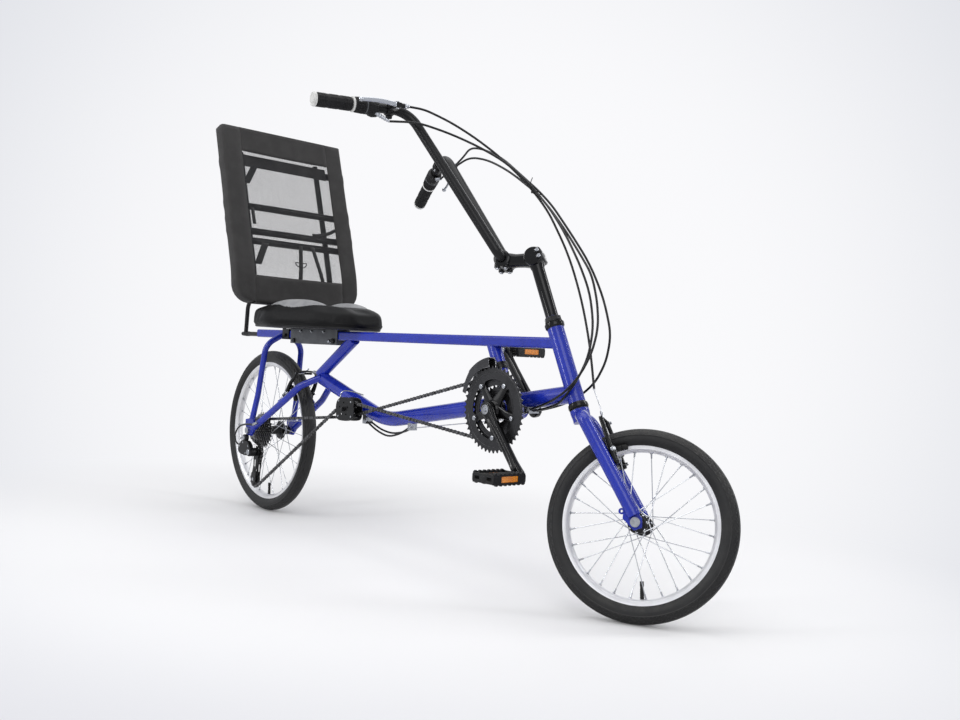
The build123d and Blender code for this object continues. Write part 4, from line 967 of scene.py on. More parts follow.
def toothOutline(teeth, phase, tip=2.3):
    radius, root = pitchRadius(teeth), drive["toothRoot"]
    flank = ((-0.16, 0.3 - root), (0.0, -root), (0.16, 0.3 - root), (0.32, -0.6), (0.43, tip), (0.57, tip),
             (0.68, -0.6))
    points = []
    for i in range(teeth):
        for share, rise in flank:
            a = phase + (i + share) * tau / teeth
            points.append(((radius + rise) * math.cos(a), (radius + rise) * math.sin(a)))
    return points


def holesRound(count, radius, segments, reach, start):
    turns = [start + tau * i / count for i in range(count)]
    return [circle(radius, segments, reach * math.cos(a), reach * math.sin(a)) for a in turns]


def makeCassette():
    cogs, core = Shape(), Shape()
    phase = wheelPhase(0)
    for place, teeth in enumerate(drive["cogs"]):
        outer = pitchRadius(teeth)
        loops = [toothOutline(teeth, phase)]
        if teeth > 18:
            loops += holesRound(6, min(5.4, (outer - 22) * 0.28 + 1.6), 10, outer * 0.5 + 10, 0.3)
        y = drive["outerCogY"] + place * drive["cogSpacing"]
        cogs.plate(loops + [circle(17.0, 28)], -0.95, 0.95, sidePlane(0, rearAxle.z, y), 0.15)
    profile = [(26.0, 8.2), (26.0, 17.4), (58.0, 17.4), (60.2, 16.4), (60.4, 13.2), (61.0, 12.6), (61.0, 8.2)]
    core.lathe(rearAxle, -sideAxis, profile, 40)
    for i in range(12):
        core.rod(*(spinPoint(rearAxle, 30.0 * i, 11.6, y) for y in (-60.9, -61.6)), 1.3, 6)
    cogs.piece("cassetteCogs", "rear_wheel", "cogSteel", 30.0, "dark_steel", "cassette", weld=False)
    core.piece("cassetteCore", "rear_wheel", "boltSteel", 35.0, "dark_steel")


def armAngle(i):
    return math.radians(drive["crankAngle"] + 36 + 72 * i)


def makeRings():
    shape, bolts = Shape(), Shape()
    phase, arms = wheelPhase(2), [armAngle(i) for i in range(5)]
    for teeth, y, inner, bolt in drive["rings"]:
        edge = []
        for i in range(80):
            a = tau * i / 80
            near = min(abs((a - b + math.pi) % tau - math.pi) for b in arms)
            radius = inner - (inner - bolt + 6.5) * max(0.0, 1.0 - (near / 0.2) ** 2)
            edge.append((radius * math.cos(a), radius * math.sin(a)))
        shape.plate([toothOutline(teeth, phase), edge], -1.2, 1.2, sidePlane(shell.x, shell.z, y), 0.2)
        # the stiffening step inside the teeth
        ridge = pitchRadius(teeth) - 9.0
        step = [(0.0, ridge - 3), (0.7, ridge - 2.4), (0.7, ridge + 2.4), (0.0, ridge + 3)]
        shape.lathe(shell + aside(y - 1.2), -sideAxis, step, 96, False)
    for a in arms:
        at = shell + polar(a, drive["spiderReach"])
        bolts.knob(at + aside(-54.4), at + aside(-60.2), 5.4, 0.8, 20)
        bolts.rod(at + aside(-60.3), at + aside(-60.6), 2.6, 6)
        bolts.knob(at + aside(-45.5), at + aside(-43.4), 5.0, 0.6, 20)
    shape.piece("chainringSet", "crankset", "ringAlloy", 30.0, "silver", "chainrings", weld=False)
    bolts.piece("chainringBolts", "crankset", "boltSteel", 35.0, "steel")


def makeSpider():
    shape = Shape()
    # reach, half width, thickness, y
    stations = ((8, 15, 11, -55.0), (22, 13, 10, -54.6), (40, 9.4, 7.4, -53.6), (54, 9.0, 6.0, -52.6),
                (62, 9.4, 5.4, -52.0), (68, 7.0, 5.0, -52.0), (70.5, 2.5, 4.4, -52.0))
    for a in map(armAngle, range(5)):
        sections = []
        for reach, width, thick, y in stations:
            outline = roundedBox(width * 2, thick, min(2.6, thick * 0.4))
            sections.append(ringAt(shell + polar(a, reach, y), polar(a + tau / 4), sideAxis, outline))
        shape.loft(sections)
    profile = [(38.0, 9.2), (38.0, 20.0), (40.0, 23.0), (52.0, 24.0), (60.0, 22.0), (64.5, 18.0), (65.2, 9.2)]
    shape.lathe(shell, -sideAxis, profile, 40)
    shape.piece("crankSpider", "crankset", "blackGloss", 38.0, "dark_steel", "chainring_spider", weld=False)


def crankWay(side):
    return polar(math.radians(drive["crankAngle"]) + (math.pi if side > 0 else 0))


def makeCranks():
    arms, bright = Shape(), Shape()
    inner = drive["crankInner"]
    # reach, half width, thickness, groove depth
    stations = ((-17.6, 4.0, 11.0, 0.0), (-14.5, 11.5, 13.0, 0.0), (-8.0, 16.0, 14.2, 0.0),
                (2.0, 17.6, 14.6, 0.0), (12.0, 15.6, 14.0, 0.0), (24.0, 12.6, 13.0, 1.4),
                (60.0, 11.4, 12.2, 2.4), (110.0, 10.6, 11.6, 2.4), (140.0, 10.8, 11.8, 1.6),
                (156.0, 12.2, 12.8, 0.0), (168.0, 13.6, 13.2, 0.0), (176.0, 12.4, 13.0, 0.0),
                (181.0, 8.0, 12.0, 0.0), (183.6, 3.0, 10.0, 0.0))
    # the section's corners as shares of half width and thickness, and share of the groove cut away
    flank = ((-1.0, 0.12, 0), (-1.0, 0.7, 0), (-0.86, 0.94, 0), (-0.6, 1.0, 0), (-0.5, 1.0, 0),
             (-0.34, 1.0, 1))
    corners = flank + ((0.0, 1.0, 1.15),) + tuple((-u, v, cut) for u, v, cut in reversed(flank))
    corners += ((0.86, 0.0, 0), (0.0, 0.0, 0), (-0.86, 0.0, 0))
    for side in (-1, 1):
        along, outward = crankWay(side), aside(side)
        across = Vector((-along.z, 0, along.x))
        sections = []
        for reach, half, thick, groove in stations:
            middle = shell + along * reach + outward * (inner + (13.2 - thick) * 0.5)
            sections.append([middle + across * (u * half) + outward * (v * thick - cut * groove)
                             for u, v, cut in corners])
        arms.loft(sections)
        eye, cap = shell + along * drive["crankLength"], shell + outward * (inner + 14.0)
        cover = [(0, 0.01), (0, 10.6), (1.2, 10.6), (1.8, 9.8), (1.8, 8.2), (0.6, 7.4), (0.6, 0.01)]
        bright.lathe(cap - outward * 0.6, outward, cover, 28, False)
        bright.rod(cap - outward * 0.4, cap + outward * 2.4, 5.6, 6)
        bright.lathe(eye + outward * (inner - 1.6), outward, [(0, 0.01), (0, 5.6), (1.0, 6.8), (1.6, 6.9)],
                     20, False)
    arms.piece("crankArms", "crankset", "blackGloss", 50.0, "black_metal", "crank_arms")
    bright.piece("crankBolts", "crankset", "boltSteel", 35.0, "steel")


def makePulleys():
    # jockey wheels and idler pulleys: moulded, toothed, with a steel bushing
    moulded, bushes = Shape(), Shape()
    hub = [(0, 4.6), (0, 7.4), (2.0, 8.0), (4.8, 8.0), (6.8, 7.4), (6.8, 4.6)]
    for index in (3, 1, 4, 5):
        at, teeth, _ = chainWheels[index]
        loops = [toothOutline(teeth, wheelPhase(index), 1.2)]
        loops += holesRound(5, 2.3, 10, pitchRadius(teeth) * 0.58, 0.4) + [circle(5.4, 20)]
        moulded.plate(loops, -1.1, 1.1, sidePlane(at.x, at.z, at.y), 0.25)
        moulded.lathe(at - aside(3.4), sideAxis, hub, 24)
        bushes.lathe(at - aside(4.2), sideAxis, [(0, 3.3), (0, 5.0), (8.4, 5.0), (8.4, 3.3)], 20)
    spacer = [(0, 4.4), (0, 8.0), (5.0, 8.0), (5.0, 4.4)]
    moulded.lathe(idlerAt + aside(-52.0), sideAxis, spacer, 24)
    moulded.piece("chainPulleys", "frame", "blackPlastic", 32.0, "plastic", "chain_pulleys", weld=False)
    bushes.piece("pulleyBushes", "frame", "boltSteel", 32.0, "steel")


makeChain()
makeCassette()
makeRings()
makeSpider()
makeCranks()
makePulleys()


print("pedals")
pedalForm = {
    "start": 85.0,
    "width": 90.0,
    "length": 66.0,
    "height": 26.0,
    "teeth": 7,
    "reflector": (46.0, 13.0),
    "barrel": ((1.0, 8.0), (1.0, 10.6), (5.0, 11.6), (20.0, 10.2), (70.0, 10.2), (85.0, 11.6), (88.4, 10.6),
               (89.0, 9.6), (89.0, 0.05)),
    "axle": ((0, 0.05), (0, 6.9), (12.2, 6.9), (12.2, 9.4), (14.4, 9.4), (15.6, 7.2), (24.0, 7.2),
             (24.0, 0.05)),
}


def cornersOf(middle, width, height, inset=0.0):
    w, h = width / 2 - inset, height / 2 - inset
    return [(middle - w, -h), (middle + w, -h), (middle + w, h), (middle - w, h)]


def makePedal(side, name):
    eye = shell + crankWay(side) * drive["crankLength"]
    half, high, wide = pedalForm["length"] / 2, pedalForm["height"] / 2, pedalForm["width"]
    cage, core, steel, lens = Shape(), Shape(), Shape(), Shape()
    low = side * pedalForm["start"] - (wide if side < 0 else 0)
    top, middle = low + wide, low + wide / 2
    reflector = pedalForm["reflector"]
    # front and rear cage bars with a row of teeth above and below
    steps = pedalForm["teeth"] * 4
    face = []
    for edge in (1, -1):
        for i in range(steps + 1):
            t = i / steps if edge > 0 else 1 - i / steps
            face.append((low + 2 + (wide - 4) * t, high * edge * (1.0 if i % 4 in (1, 2) else 0.8)))
    for sign in (-1, 1):
        x = eye.x + sign * (half - 3.2)
        standing = Matrix(((0, 0, 1, x), (1, 0, 0, 0), (0, 1, 0, eye.z), (0, 0, 0, 1)))
        cage.plate([face, cornersOf(middle, *reflector)], -3.0, 3.0, standing, 0.5)
        lens.plate([cornersOf(middle, *reflector, 0.3)], -2.0, 2.0, standing, 0.4)
        for column in range(9):
            y = middle - reflector[0] / 2 + 4.0 + column * 4.75
            for row in range(3):
                at = (eye.x + sign * (half - 1.3), y, eye.z - 4.0 + row * 4.0)
                lens.lathe(at, (sign, 0, 0), [(0, 2.1), (0.9, 0.05)], 6, False)
    # end plates across the cage, with lightening slots
    plan = roundedBox(pedalForm["length"] - 1.0, high * 1.5, 5.0, 4)
    slot = roundedBox(pedalForm["length"] * 0.7, high * 1.1, 3.0)
    slots = [[(x * 0.3 + sx * half * 0.55, z * 0.5) for x, z in slot] for sx in (-1, 1)]
    for y in (low + 3.4, top - 3.4):
        cage.plate([plan] + slots, -3.2, 3.2, sidePlane(eye.x, eye.z, y), 0.5)
    for y in (low + wide * 0.35, low + wide * 0.65):
        for x in (eye.x - 19, eye.x + 19):
            cage.box((x - 12, y - 1.6, eye.z - 6), (x + 12, y + 1.6, eye.z + 6))
    core.lathe((eye.x, low, eye.z), sideAxis, pedalForm["barrel"], 32, False)
    outer = eye + aside(top if side > 0 else low)
    core.knob(outer - aside(side), outer + aside(side * 0.4), 8.4, 0.8, 28)
    steel.lathe(eye + aside(side * 67.0), aside(side), pedalForm["axle"], 24, False)
    body = name + "_pedal_body"
    cage.piece(name + "PedalCage", body, "blackPlastic", 32.0, "plastic", name + "_pedal", weld=False)
    core.piece(name + "PedalBarrel", body, "blackPlastic", 32.0, "plastic", weld=False)
    steel.piece(name + "PedalAxle", body, "boltSteel", 32.0, "steel", weld=False)
    lens.piece(name + "PedalReflectors", body, "amberLens", 20.0, "plastic", weld=False)


makePedal(-1, "right")
makePedal(1, "left")


print("seat")
seatForm = {
    "bottom": 554.0,
    # plan from the rear: x, half width, corner radius
    "plan": ((95.0, 145.0, 42.0), (230.0, 168.0, 120.0), (385.0, 118.0, 120.0), (482.0, 62.0, 50.0)),
    "middle": (280.0, 0.0),
    # shrink of the plan, height above the bottom, and share kept towards the middle
    "rings": ((26, 0.0, 1), (13, 0.0, 1), (8, 3.0, 1), (6, 10.0, 1), (4, 22.0, 1), (4, 36.0, 1), (8, 44.5, 1),
              (16, 49.0, 1), (32, 51.0, 1), (32, 52.0, 0.62)),
    # the raised panel: middle x and y, reach along and across, rise in metres
    "lobeAt": (262.0, 80.0),
    "lobeReach": (98.0, 44.0),
    "lobeRise": 0.018,
    "lobeEdge": 0.3,
    # the sewn edge: depth in metres and width
    "seam": (0.0028, 0.08),
    "voxel": 0.005,
    "pressure": 4.0,
    "cap": 0.006,
    "tray": ((34, 549.8), (15, 549.8), (12.5, 551.0), (11.5, 556.0), (14, 560.0)),
}


def planOutline(shrink, count=120):
    # rounded plan of the seat, walked as points at even spacing
    corners = [*seatForm["plan"], *((x, -y, r) for x, y, r in reversed(seatForm["plan"]))]
    walk = []
    for i, (x, y, r) in enumerate(corners):
        here, before, after = (Vector(corners[j % 8][:2]) for j in (i, i - 1, i + 1))
        toBefore, toAfter = (before - here).normalized(), (after - here).normalized()
        half = math.acos(max(-1, min(1, toBefore.dot(toAfter)))) / 2
        reach = r / math.tan(half)
        centre = here + (toBefore + toAfter).normalized() * (r / math.sin(half))
        start, end = here + toBefore * reach - centre, here + toAfter * reach - centre
        a = math.atan2(start.y, start.x)
        sweep = (math.atan2(end.y, end.x) - a + math.pi) % tau - math.pi
        for s in range(9):
            at = a + sweep * s / 8
            walk.append(centre + Vector((math.cos(at), math.sin(at))) * (r - shrink))
    lengths = [(walk[(i + 1) % len(walk)] - walk[i]).length for i in range(len(walk))]
    points = []
    for k in range(count):
        goal, i = sum(lengths) * k / count, 0
        while goal > lengths[i]:
            goal -= lengths[i]
            i += 1
        points.append(walk[i].lerp(walk[(i + 1) % len(walk)], goal / max(lengths[i], 1e-6)))
    return points


def addModifier(piece, kind, **settings):
    modifier = piece.modifiers.new(kind.lower(), kind)
    for key, value in settings.items():
        setattr(modifier, key, value)
    return modifier


def applyModifiers(piece):
    old, materials = piece.data, list(piece.data.materials)
    fresh = bpy.data.meshes.new_from_object(piece.evaluated_get(bpy.context.evaluated_depsgraph_get()))
    piece.modifiers.clear()
    piece.data = fresh
    fresh.materials.clear()
    for material in materials:
        fresh.materials.append(material)
    bpy.data.meshes.remove(old)


def inflate(piece, heldBelow):
    # blow up as cloth with its underside held, and keep each point within the cap
    start = [v.co.copy() for v in piece.data.vertices]
    group = piece.vertex_groups.new(name="held")
    group.add([i for i, co in enumerate(start) if co.z < heldBelow], 1.0, "REPLACE")
    cloth = addModifier(piece, "CLOTH").settings
    cloth.use_pressure = True
    cloth.uniform_pressure_force = seatForm["pressure"]
    cloth.effector_weights.gravity = 0.0
    cloth.quality = 5
    cloth.mass = 0.3
    cloth.tension_stiffness = cloth.compression_stiffness = 20.0
    cloth.bending_stiffness = 1.5
    cloth.vertex_group_mass = "held"
    for number in range(1, 21):
        scene.frame_set(number)
    applyModifiers(piece)
    scene.frame_set(1)
    for v, before in zip(piece.data.vertices, start):
        move = v.co - before
        if move.length > seatForm["cap"]:
            v.co = before + move * (seatForm["cap"] / move.length)
    piece.vertex_groups.clear()


def looseShape(shape, name, finish):
    # a piece that rides on nothing yet, for simulation at the origin
    mesh = bpy.data.meshes.new(name)
    mesh.from_pydata([tuple(v) for v in shape.verts], [], shape.faces)
    mesh.transform(toRow)
    mesh.validate()
    recalculateNormals(mesh)
    item = bpy.data.objects.new(name, mesh)
    scene.collection.objects.link(item)
    mesh.materials.append(finishes[finish])
    return item


def layoutPlace(co):
    return [v * 1000 + origin for v, origin in zip(co, rowOrigin)]


def noseDrop(x):
    # the nose sits a little lower than the rear pad
    return 7.0 * max(0.0, (x - 330.0) / 150.0) ** 2


def lobe(x, y):
    # how far up one of the two raised side panels a point of the top is, 0 to 1
    (middle, off), (reach, width) = seatForm["lobeAt"], seatForm["lobeReach"]
    beside = (abs(y) - off + 0.12 * (x - middle)) / width
    return math.exp(-((((x - middle) / reach) ** 2 + beside ** 2) ** 1.5))


def makeCushion():
    shape, rings = Shape(), []
    middle, bottom, tall = Vector(seatForm["middle"]), seatForm["bottom"], seatForm["rings"][-1][1]
    for shrink, z, share in seatForm["rings"]:
        outline = [middle + (p - middle) * share for p in planOutline(shrink)]
        rings.append([(p.x, p.y, bottom + z - noseDrop(p.x) * z / tall) for p in outline])
    shape.loft(rings)
    cushion = looseShape(shape, "seatCushion", "seatCover")
    lowest = (bottom - rowOrigin[2]) / 1000
    addModifier(cushion, "REMESH", mode="VOXEL", voxel_size=seatForm["voxel"])
    applyModifiers(cushion)
    inflate(cushion, lowest + 0.004)
    addModifier(cushion, "SMOOTH", factor=0.5, iterations=10)
    applyModifiers(cushion)
    # the side panels stand up from the cover, and their sewn edge pulls it in
    edge, (depth, width) = seatForm["lobeEdge"], seatForm["seam"]
    for v in cushion.data.vertices:
        x, y, z = layoutPlace(v.co)
        top, raised = max(0.0, min(1.0, (z - 588) / 12)), lobe(x, y)
        v.co.z += top * (seatForm["lobeRise"] * raised - depth * math.exp(-(((raised - edge) / width) ** 2)))
        v.co.z = max(v.co.z, lowest)
    addModifier(cushion, "SUBSURF", levels=1, render_levels=1)
    applyModifiers(cushion)
    cushion.data.materials.append(finishes["seatPanel"])
    for polygon in cushion.data.polygons:
        x, y, z = layoutPlace(polygon.center)
        polygon.use_smooth = True
        if polygon.normal.z > 0.2 and z > 592 and lobe(x, y) > edge:
            polygon.material_index = 1
    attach(cushion, "frame")
    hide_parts("seat_cushion")


def makeSeatTrim():
    # piping round the cover's lower seam, and the moulded tray below
    cord, tray = Shape(), Shape()
    path = [(p.x, p.y, 564.0) for p in planOutline(8.0, 160)]
    cord.sweep(path + path[:1], 1.5, 8, caps=False)
    cord.piece("seatPiping", "frame", "seatCover", 60.0, "seat_cover")
    tray.loft([[(p.x, p.y, z) for p in planOutline(shrink)] for shrink, z in seatForm["tray"]])
    tray.piece("seatTray", "frame", "blackPlastic", 35.0, "plastic", "seat_pan")


makeCushion()
makeSeatTrim()


print("backrest")
backForm = {
    # front face in the middle plane: bottom, bend, top
    "profile": ((139.5, 621.0), (128.0, 712.0), (-13.0, 1135.0)),
    "bendRadius": 300.0,
    "length": 538.0,
    "half": 203.0,
    "depth": 44.0,
    # see-through panel: bottom and top as shares of the length, half width
    "window": (0.142, 0.862, 146.0),
    "corner": 52.0,
    "bars": (0.41, 0.47, 0.56, 0.8),
    "cornerSteps": (0.0, 0.001, 0.004, 0.009, 0.016, 0.026, 0.04, 0.06, 0.085, 0.115),
    # fold over an end tube: depth, and how far past the end
    "fold": ((2.5, 1.5), (9, 3.0), (24, 3.0), (36, 2.0), (42, -3.0), (43, -24.0)),
    # webbing behind the mesh: start and end as share up, y and depth, then width
    "straps": {
        "backStrapTail0": ((0.792, -102.0, 19.0), (0.692, -131.0, 24.0), 22.0),
        "backStrapTail1": ((0.546, -123.0, 19.0), (0.455, -119.0, 24.0), 11.0),
        "backStrapTail2": ((0.346, -93.0, 19.0), (0.222, -122.0, 24.0), 22.0),
        "backStrapInner": ((0.352, 24.0, 17.0), (0.12, 4.0, 9.0), 13.0),
        "backStrapOuter": ((0.352, 64.0, 17.0), (0.12, 85.0, 9.0), 13.0),
    },
    # wire ring: share up, y, half width, height, depth
    "ring": (0.245, 14.0, 19.0, 15.0, 12.0),
}


def backProfile(t):
    # front face point, its backward direction and its way up, t from 0 at the bottom to 1 at the top
    low, bend, high = (Vector((x, 0, z)) for x, z in backForm["profile"])
    lower, upper = (bend - low).normalized(), (high - bend).normalized()
    first = (bend - low).length
    along = t * (first + (high - bend).length)
    tangent = backForm["bendRadius"] * math.tan(lower.angle(upper) / 2)
    share = (along - first + tangent) / (2 * tangent)
    if share < 0:
        at, way = low + lower * along, lower
    elif share > 1:
        at, way = bend + upper * (along - first), upper
    else:
        a, b = bend - lower * tangent, bend + upper * tangent
        at = a.lerp(bend, share).lerp(bend.lerp(b, share), share)
        way = lower.lerp(upper, share).normalized()
    return at, Vector((-way.z, 0, way.x)), way


def clothSheet(name, rows, finish, thick):
    # rows of points skinned as one thick sheet, with its flat layout in metres
    count, middle = len(rows[0]), rows[len(rows) // 2]
    across, along, faces, layout = [0.0], [0.0], [], {}
    for a, b in zip(middle, middle[1:]):
        across.append(across[-1] + (b - a).length / 1000)
    for first, second in zip(rows, rows[1:]):
        along.append(along[-1] + (second[count // 2] - first[count // 2]).length / 1000)
    for i in range(len(rows) - 1):
        here, there, v0, v1 = i * count, (i + 1) * count, along[i], along[i + 1]
        for j in range(count - 1):
            u0, u1 = across[j], across[j + 1]
            layout[len(faces)] = ((u0, v0), (u1, v0), (u1, v1), (u0, v1))
            faces.append((here + j, here + j + 1, there + j + 1, there + j))
    verts = [p for row in rows for p in row]
    sheet = meshPiece(name, verts, faces, "frame", finish, 180.0, layout)
    addModifier(sheet, "SOLIDIFY", thickness=thick / 1000, offset=0.0)
    applyModifiers(sheet)
    sheet.data.polygons.foreach_set("use_smooth", [True] * len(sheet.data.polygons))
    return sheet, across[-1], along[-1]


def stretch(name, rows, finish, thick=1.2):
    sheet, wide, tall = clothSheet(name, rows, finish, thick)
    return sheet


def wrapPoint(t, y, back):
    at, backward, _ = backProfile(t)
    sag = 10.0 * (1 - (y / backForm["half"]) ** 2) * math.sin(math.pi * t) ** 0.7 if back == 0 else 0.0
    return at + backward * (back + sag) + aside(y)


def borderRow(t):
    # one row from the see-through panel out, round the side tube and on to the back
    window, corner, depth = backForm["window"][2], backForm["corner"], backForm["depth"]
    short = max(0.0, corner - t * backForm["length"])
    half = backForm["half"] - corner + math.sqrt(corner ** 2 - short ** 2)
    half += sum(2.2 * math.exp(-(((t - bar) / 0.025) ** 2)) for bar in backForm["bars"])
    edge = min(9.0, 0.8 * (half - window))
    flat = half - edge - window
    places = ((window, 0), (window + 0.5 * flat, 0), (half - edge, 0), (half - 0.29 * edge, 2.6), (half, 9.0),
              (half, 24.0), (half, depth - 9), (half - 0.29 * edge, depth - 2.6), (half - edge, depth),
              (half - edge - 0.4 * flat, depth - 1))
    return [wrapPoint(t, -y, back) for y, back in places]


def bandRows(t0, t1, steps, half, back=0.0, count=25):
    spots = [-half + 2 * half * j / (count - 1) for j in range(count)]
    return [[wrapPoint(t0 + (t1 - t0) * i / steps, y, back) for y in spots] for i in range(steps + 1)]


def makeSling():
    low, high, half = backForm["window"]
    shares = [*backForm["cornerSteps"], *(low + (1 - low) * i / 36 for i in range(37))]
    rows = [borderRow(t) for t in shares]
    stretch("backBorderRight", rows, "borderCloth")
    mirrored = [[Vector((p.x, -p.y, p.z)) for p in reversed(row)] for row in rows]
    stretch("backBorderLeft", mirrored, "borderCloth")
    # top and bottom bands fold over the end tubes
    for name, t0, t1, over in (("backTopBand", high, 1.0, 1), ("backLowBand", 0.0, low, -1)):
        rows, fold = bandRows(t0, t1, 8, half), []
        at, backward, up = backProfile(max(over, 0))
        for back, along in backForm["fold"]:
            middle = at + backward * back + up * over * along
            fold.append([middle + aside(-half + 2 * half * j / 24) for j in range(25)])
        stretch(name, rows + fold if over > 0 else fold[::-1] + rows, "borderCloth")
    # a wide band hugs the upper bar behind the open mesh
    stretch("backBarBand", bandRows(0.786, 0.856, 6, half, 16.5), "borderCloth")
    mesh = stretch("backMesh", bandRows(low, high, 40, half + 3, 0.0, 29), "meshCloth", 0.8)
    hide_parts("seat_back_sling")


def makeStraps():
    for name, (start, end, wide) in backForm["straps"].items():
        rows = []
        for i in range(7):
            t, y, back = (a + (b - a) * i / 6 for a, b in zip(start, end))
            rows.append([wrapPoint(t, y + wide * side, back) for side in (-0.5, 0.0, 0.5)])
        stretch(name, rows, "strapCloth")
    # a loose strap that sags from a bar to the side tube
    steps = [j / 14 for j in range(15)]
    rows = [[wrapPoint(0.43 + 0.056 * s * s + off, 72 + 90 * s, 20.0) for s in steps]
            for off in (-0.011, 0.0, 0.011)]
    stretch("backStrapLoose", rows, "strapCloth")
    # a wire ring on the lower webbing
    ring, (centre, middle, wide, tall, depth) = Shape(), backForm["ring"]
    path = [wrapPoint(centre, middle - wide, depth), wrapPoint(centre, middle + wide, depth)]
    for i in range(1, 11):
        drop, out = tall * math.sin(math.pi * i / 10), wide * math.cos(math.pi * i / 10)
        path.append(wrapPoint(centre - drop / backForm["length"], middle + out, depth))
    ring.sweep(path, 1.5, 8)
    ring.piece("backRing", "frame", "blackSatin", 40.0, "black_metal")


makeSling()
makeStraps()


print("grips, shifters and levers")
bar = {
    "end": Vector((657, -288, 940)),
    "bend": Vector((785, -113, 1002)),
    "clamp": Vector((1034, 0, 705)),
    "bore": 11.3,
    # the grip: length, rows, points round, radius
    "grip": (83.2, 66, 48, 14.7),
    # the clamp on the bar and the reach of a lever: ahead, width, height, above
    "reach": ((12, 17, 12, 0), (20, 18, 12, 2), (30, 20, 12.5, 4), (40, 21, 12.5, 6), (46, 14, 9, 6.4)),
    # the lever blade's line: along, ahead, above
    "blade": ((178, 40, 6), (164, 43, 7), (150, 41, 9), (128, 41.5, 10), (106, 42, 9.4), (92, 40.4, 8.4)),
    # the pod under the shifter: along, how low, how wide
    "pod": ((121, 9.0, 13.0), (125, 14.0, 16.0), (134, 16.5, 16.0), (143, 15.5, 13.0), (147, 12.0, 9.0)),
}
gripWay = (bar["bend"] - bar["end"]).normalized()
gripAhead = (Vector((1, 0, 0)) - gripWay * gripWay.x).normalized()
gripUp = gripAhead.cross(gripWay)
if gripUp.z < 0:
    gripUp = -gripUp


def onGrip(distance, ahead=0.0, above=0.0):
    return bar["end"] + gripWay * distance + gripAhead * ahead + gripUp * above


def makeGrips():
    grip, cap, collar, bore = Shape(), Shape(), Shape(), bar["bore"]
    length, rows, each, radius = bar["grip"]
    rings = []
    for i in range(rows + 1):
        along, ring = 0.6 + length * i / rows, []
        banded = 1.0 if 4.0 < (along + 2) % 28 < 26.0 else 0.0
        for j in range(each):
            a = tau * j / each
            lozenge = math.cos(6 * a + along * 0.85) * math.cos(6 * a - along * 0.85)
            r = radius + banded * 0.8 * max(-0.8, min(1.0, lozenge * 3)) - (1.6 if i in (0, rows) else 0.0)
            ring.append(onGrip(along) + (gripAhead * math.cos(a) + gripUp * math.sin(a)) * r)
        rings.append(ring)
    grip.loft(rings, caps=False)
    grip.lathe(onGrip(0), gripWay, [(0.6, 13.1), (0.4, bore), (83.9, bore), (83.8, 13.1)], 32, False)
    dome = [(-7.0, 0.01), (-7.0, 8.4), (-6.2, 8.9), (-5.4, 9.4), (-6.4, 10.2), (-6.8, 12.6), (-5.6, 14.6),
            (-3.6, 15.4), (-0.4, 15.5), (0.0, 15.0), (0.0, 0.01)]
    cap.lathe(onGrip(0), gripWay, dome, 40, False)
    collar.lathe(onGrip(0), gripWay, [(84.2, bore), (84.2, 15.6), (85.2, 16.8), (87.6, 17.0), (88.8, 16.0),
                                      (88.8, bore)], 40)
    for shape in (grip, cap, collar):
        shape.mirror()
    grip.piece("rubberGrips", "steering", "gripRubber", 50.0, "grip_rubber", "grips")
    cap.piece("gripCaps", "steering", "whitePlastic", 40.0, "white_plastic", "bar_end_caps")
    collar.piece("gripRings", "steering", "whitePlastic", 40.0, "white_plastic", "grip_rings")


def makeShifters():
    hard, soft, line, boot = Shape(), Shape(), Shape(), Shape()
    bore = bar["bore"]
    sleeve = [(89.2, 15.0, 0.0), (90.4, 16.2, 0.0), (92.0, 16.6, 0.0), (93.0, 16.9, 1.3), (111.0, 18.0, 1.4),
              (112.0, 17.6, 0.0), (115.4, 17.4, 0.0), (115.6, bore, 0.0)]
    soft.fluted(onGrip(0), gripWay, sleeve, 22)
    line.lathe(onGrip(0), gripWay, [(115.6, bore), (115.6, 17.5), (116.4, 18.0), (117.8, 18.0), (118.4, 17.4),
                                    (118.4, bore)], 40)
    hard.lathe(onGrip(0), gripWay, [(118.4, bore), (118.4, 17.6), (121.0, 18.0), (139.0, 18.0), (144.0, 17.0),
                                    (147.0, 14.2), (147.0, bore)], 40)
    # the pod under the bar that the cable leaves, and the indicator window
    pod = []
    for distance, low, wide in bar["pod"]:
        outline = roundedBox(wide, low + 6, 3.6)
        pod.append(ringAt(onGrip(distance, 3.0, -low * 0.5 - 3), gripAhead, gripUp, outline))
    hard.loft(pod)
    start, end = onGrip(140, 7, -13), onGrip(170, 16, -28)
    path = [start.lerp(end, i / 24) for i in range(25)]
    boot.sweep(path, [5.6 - 2.0 * i / 24 - (0.9 if i % 4 > 1 else 0.0) for i in range(25)], 16)
    hard.knob(onGrip(128, -10.5, 12.5), onGrip(128, -12.6, 14.8), 3.4, 0.6, 14)
    for shape in (hard, soft, line, boot):
        shape.mirror()
    hard.piece("shifterPods", "steering", "blackPlastic", 40.0, "plastic", "twist_shifters")
    soft.piece("shifterGrips", "steering", "gripRubber", 35.0, "grip_rubber")
    line.piece("shifterLines", "steering", "greyBracket", 35.0, "plastic")
    boot.piece("shifterBoots", "steering", "alloy", 60.0, "silver")


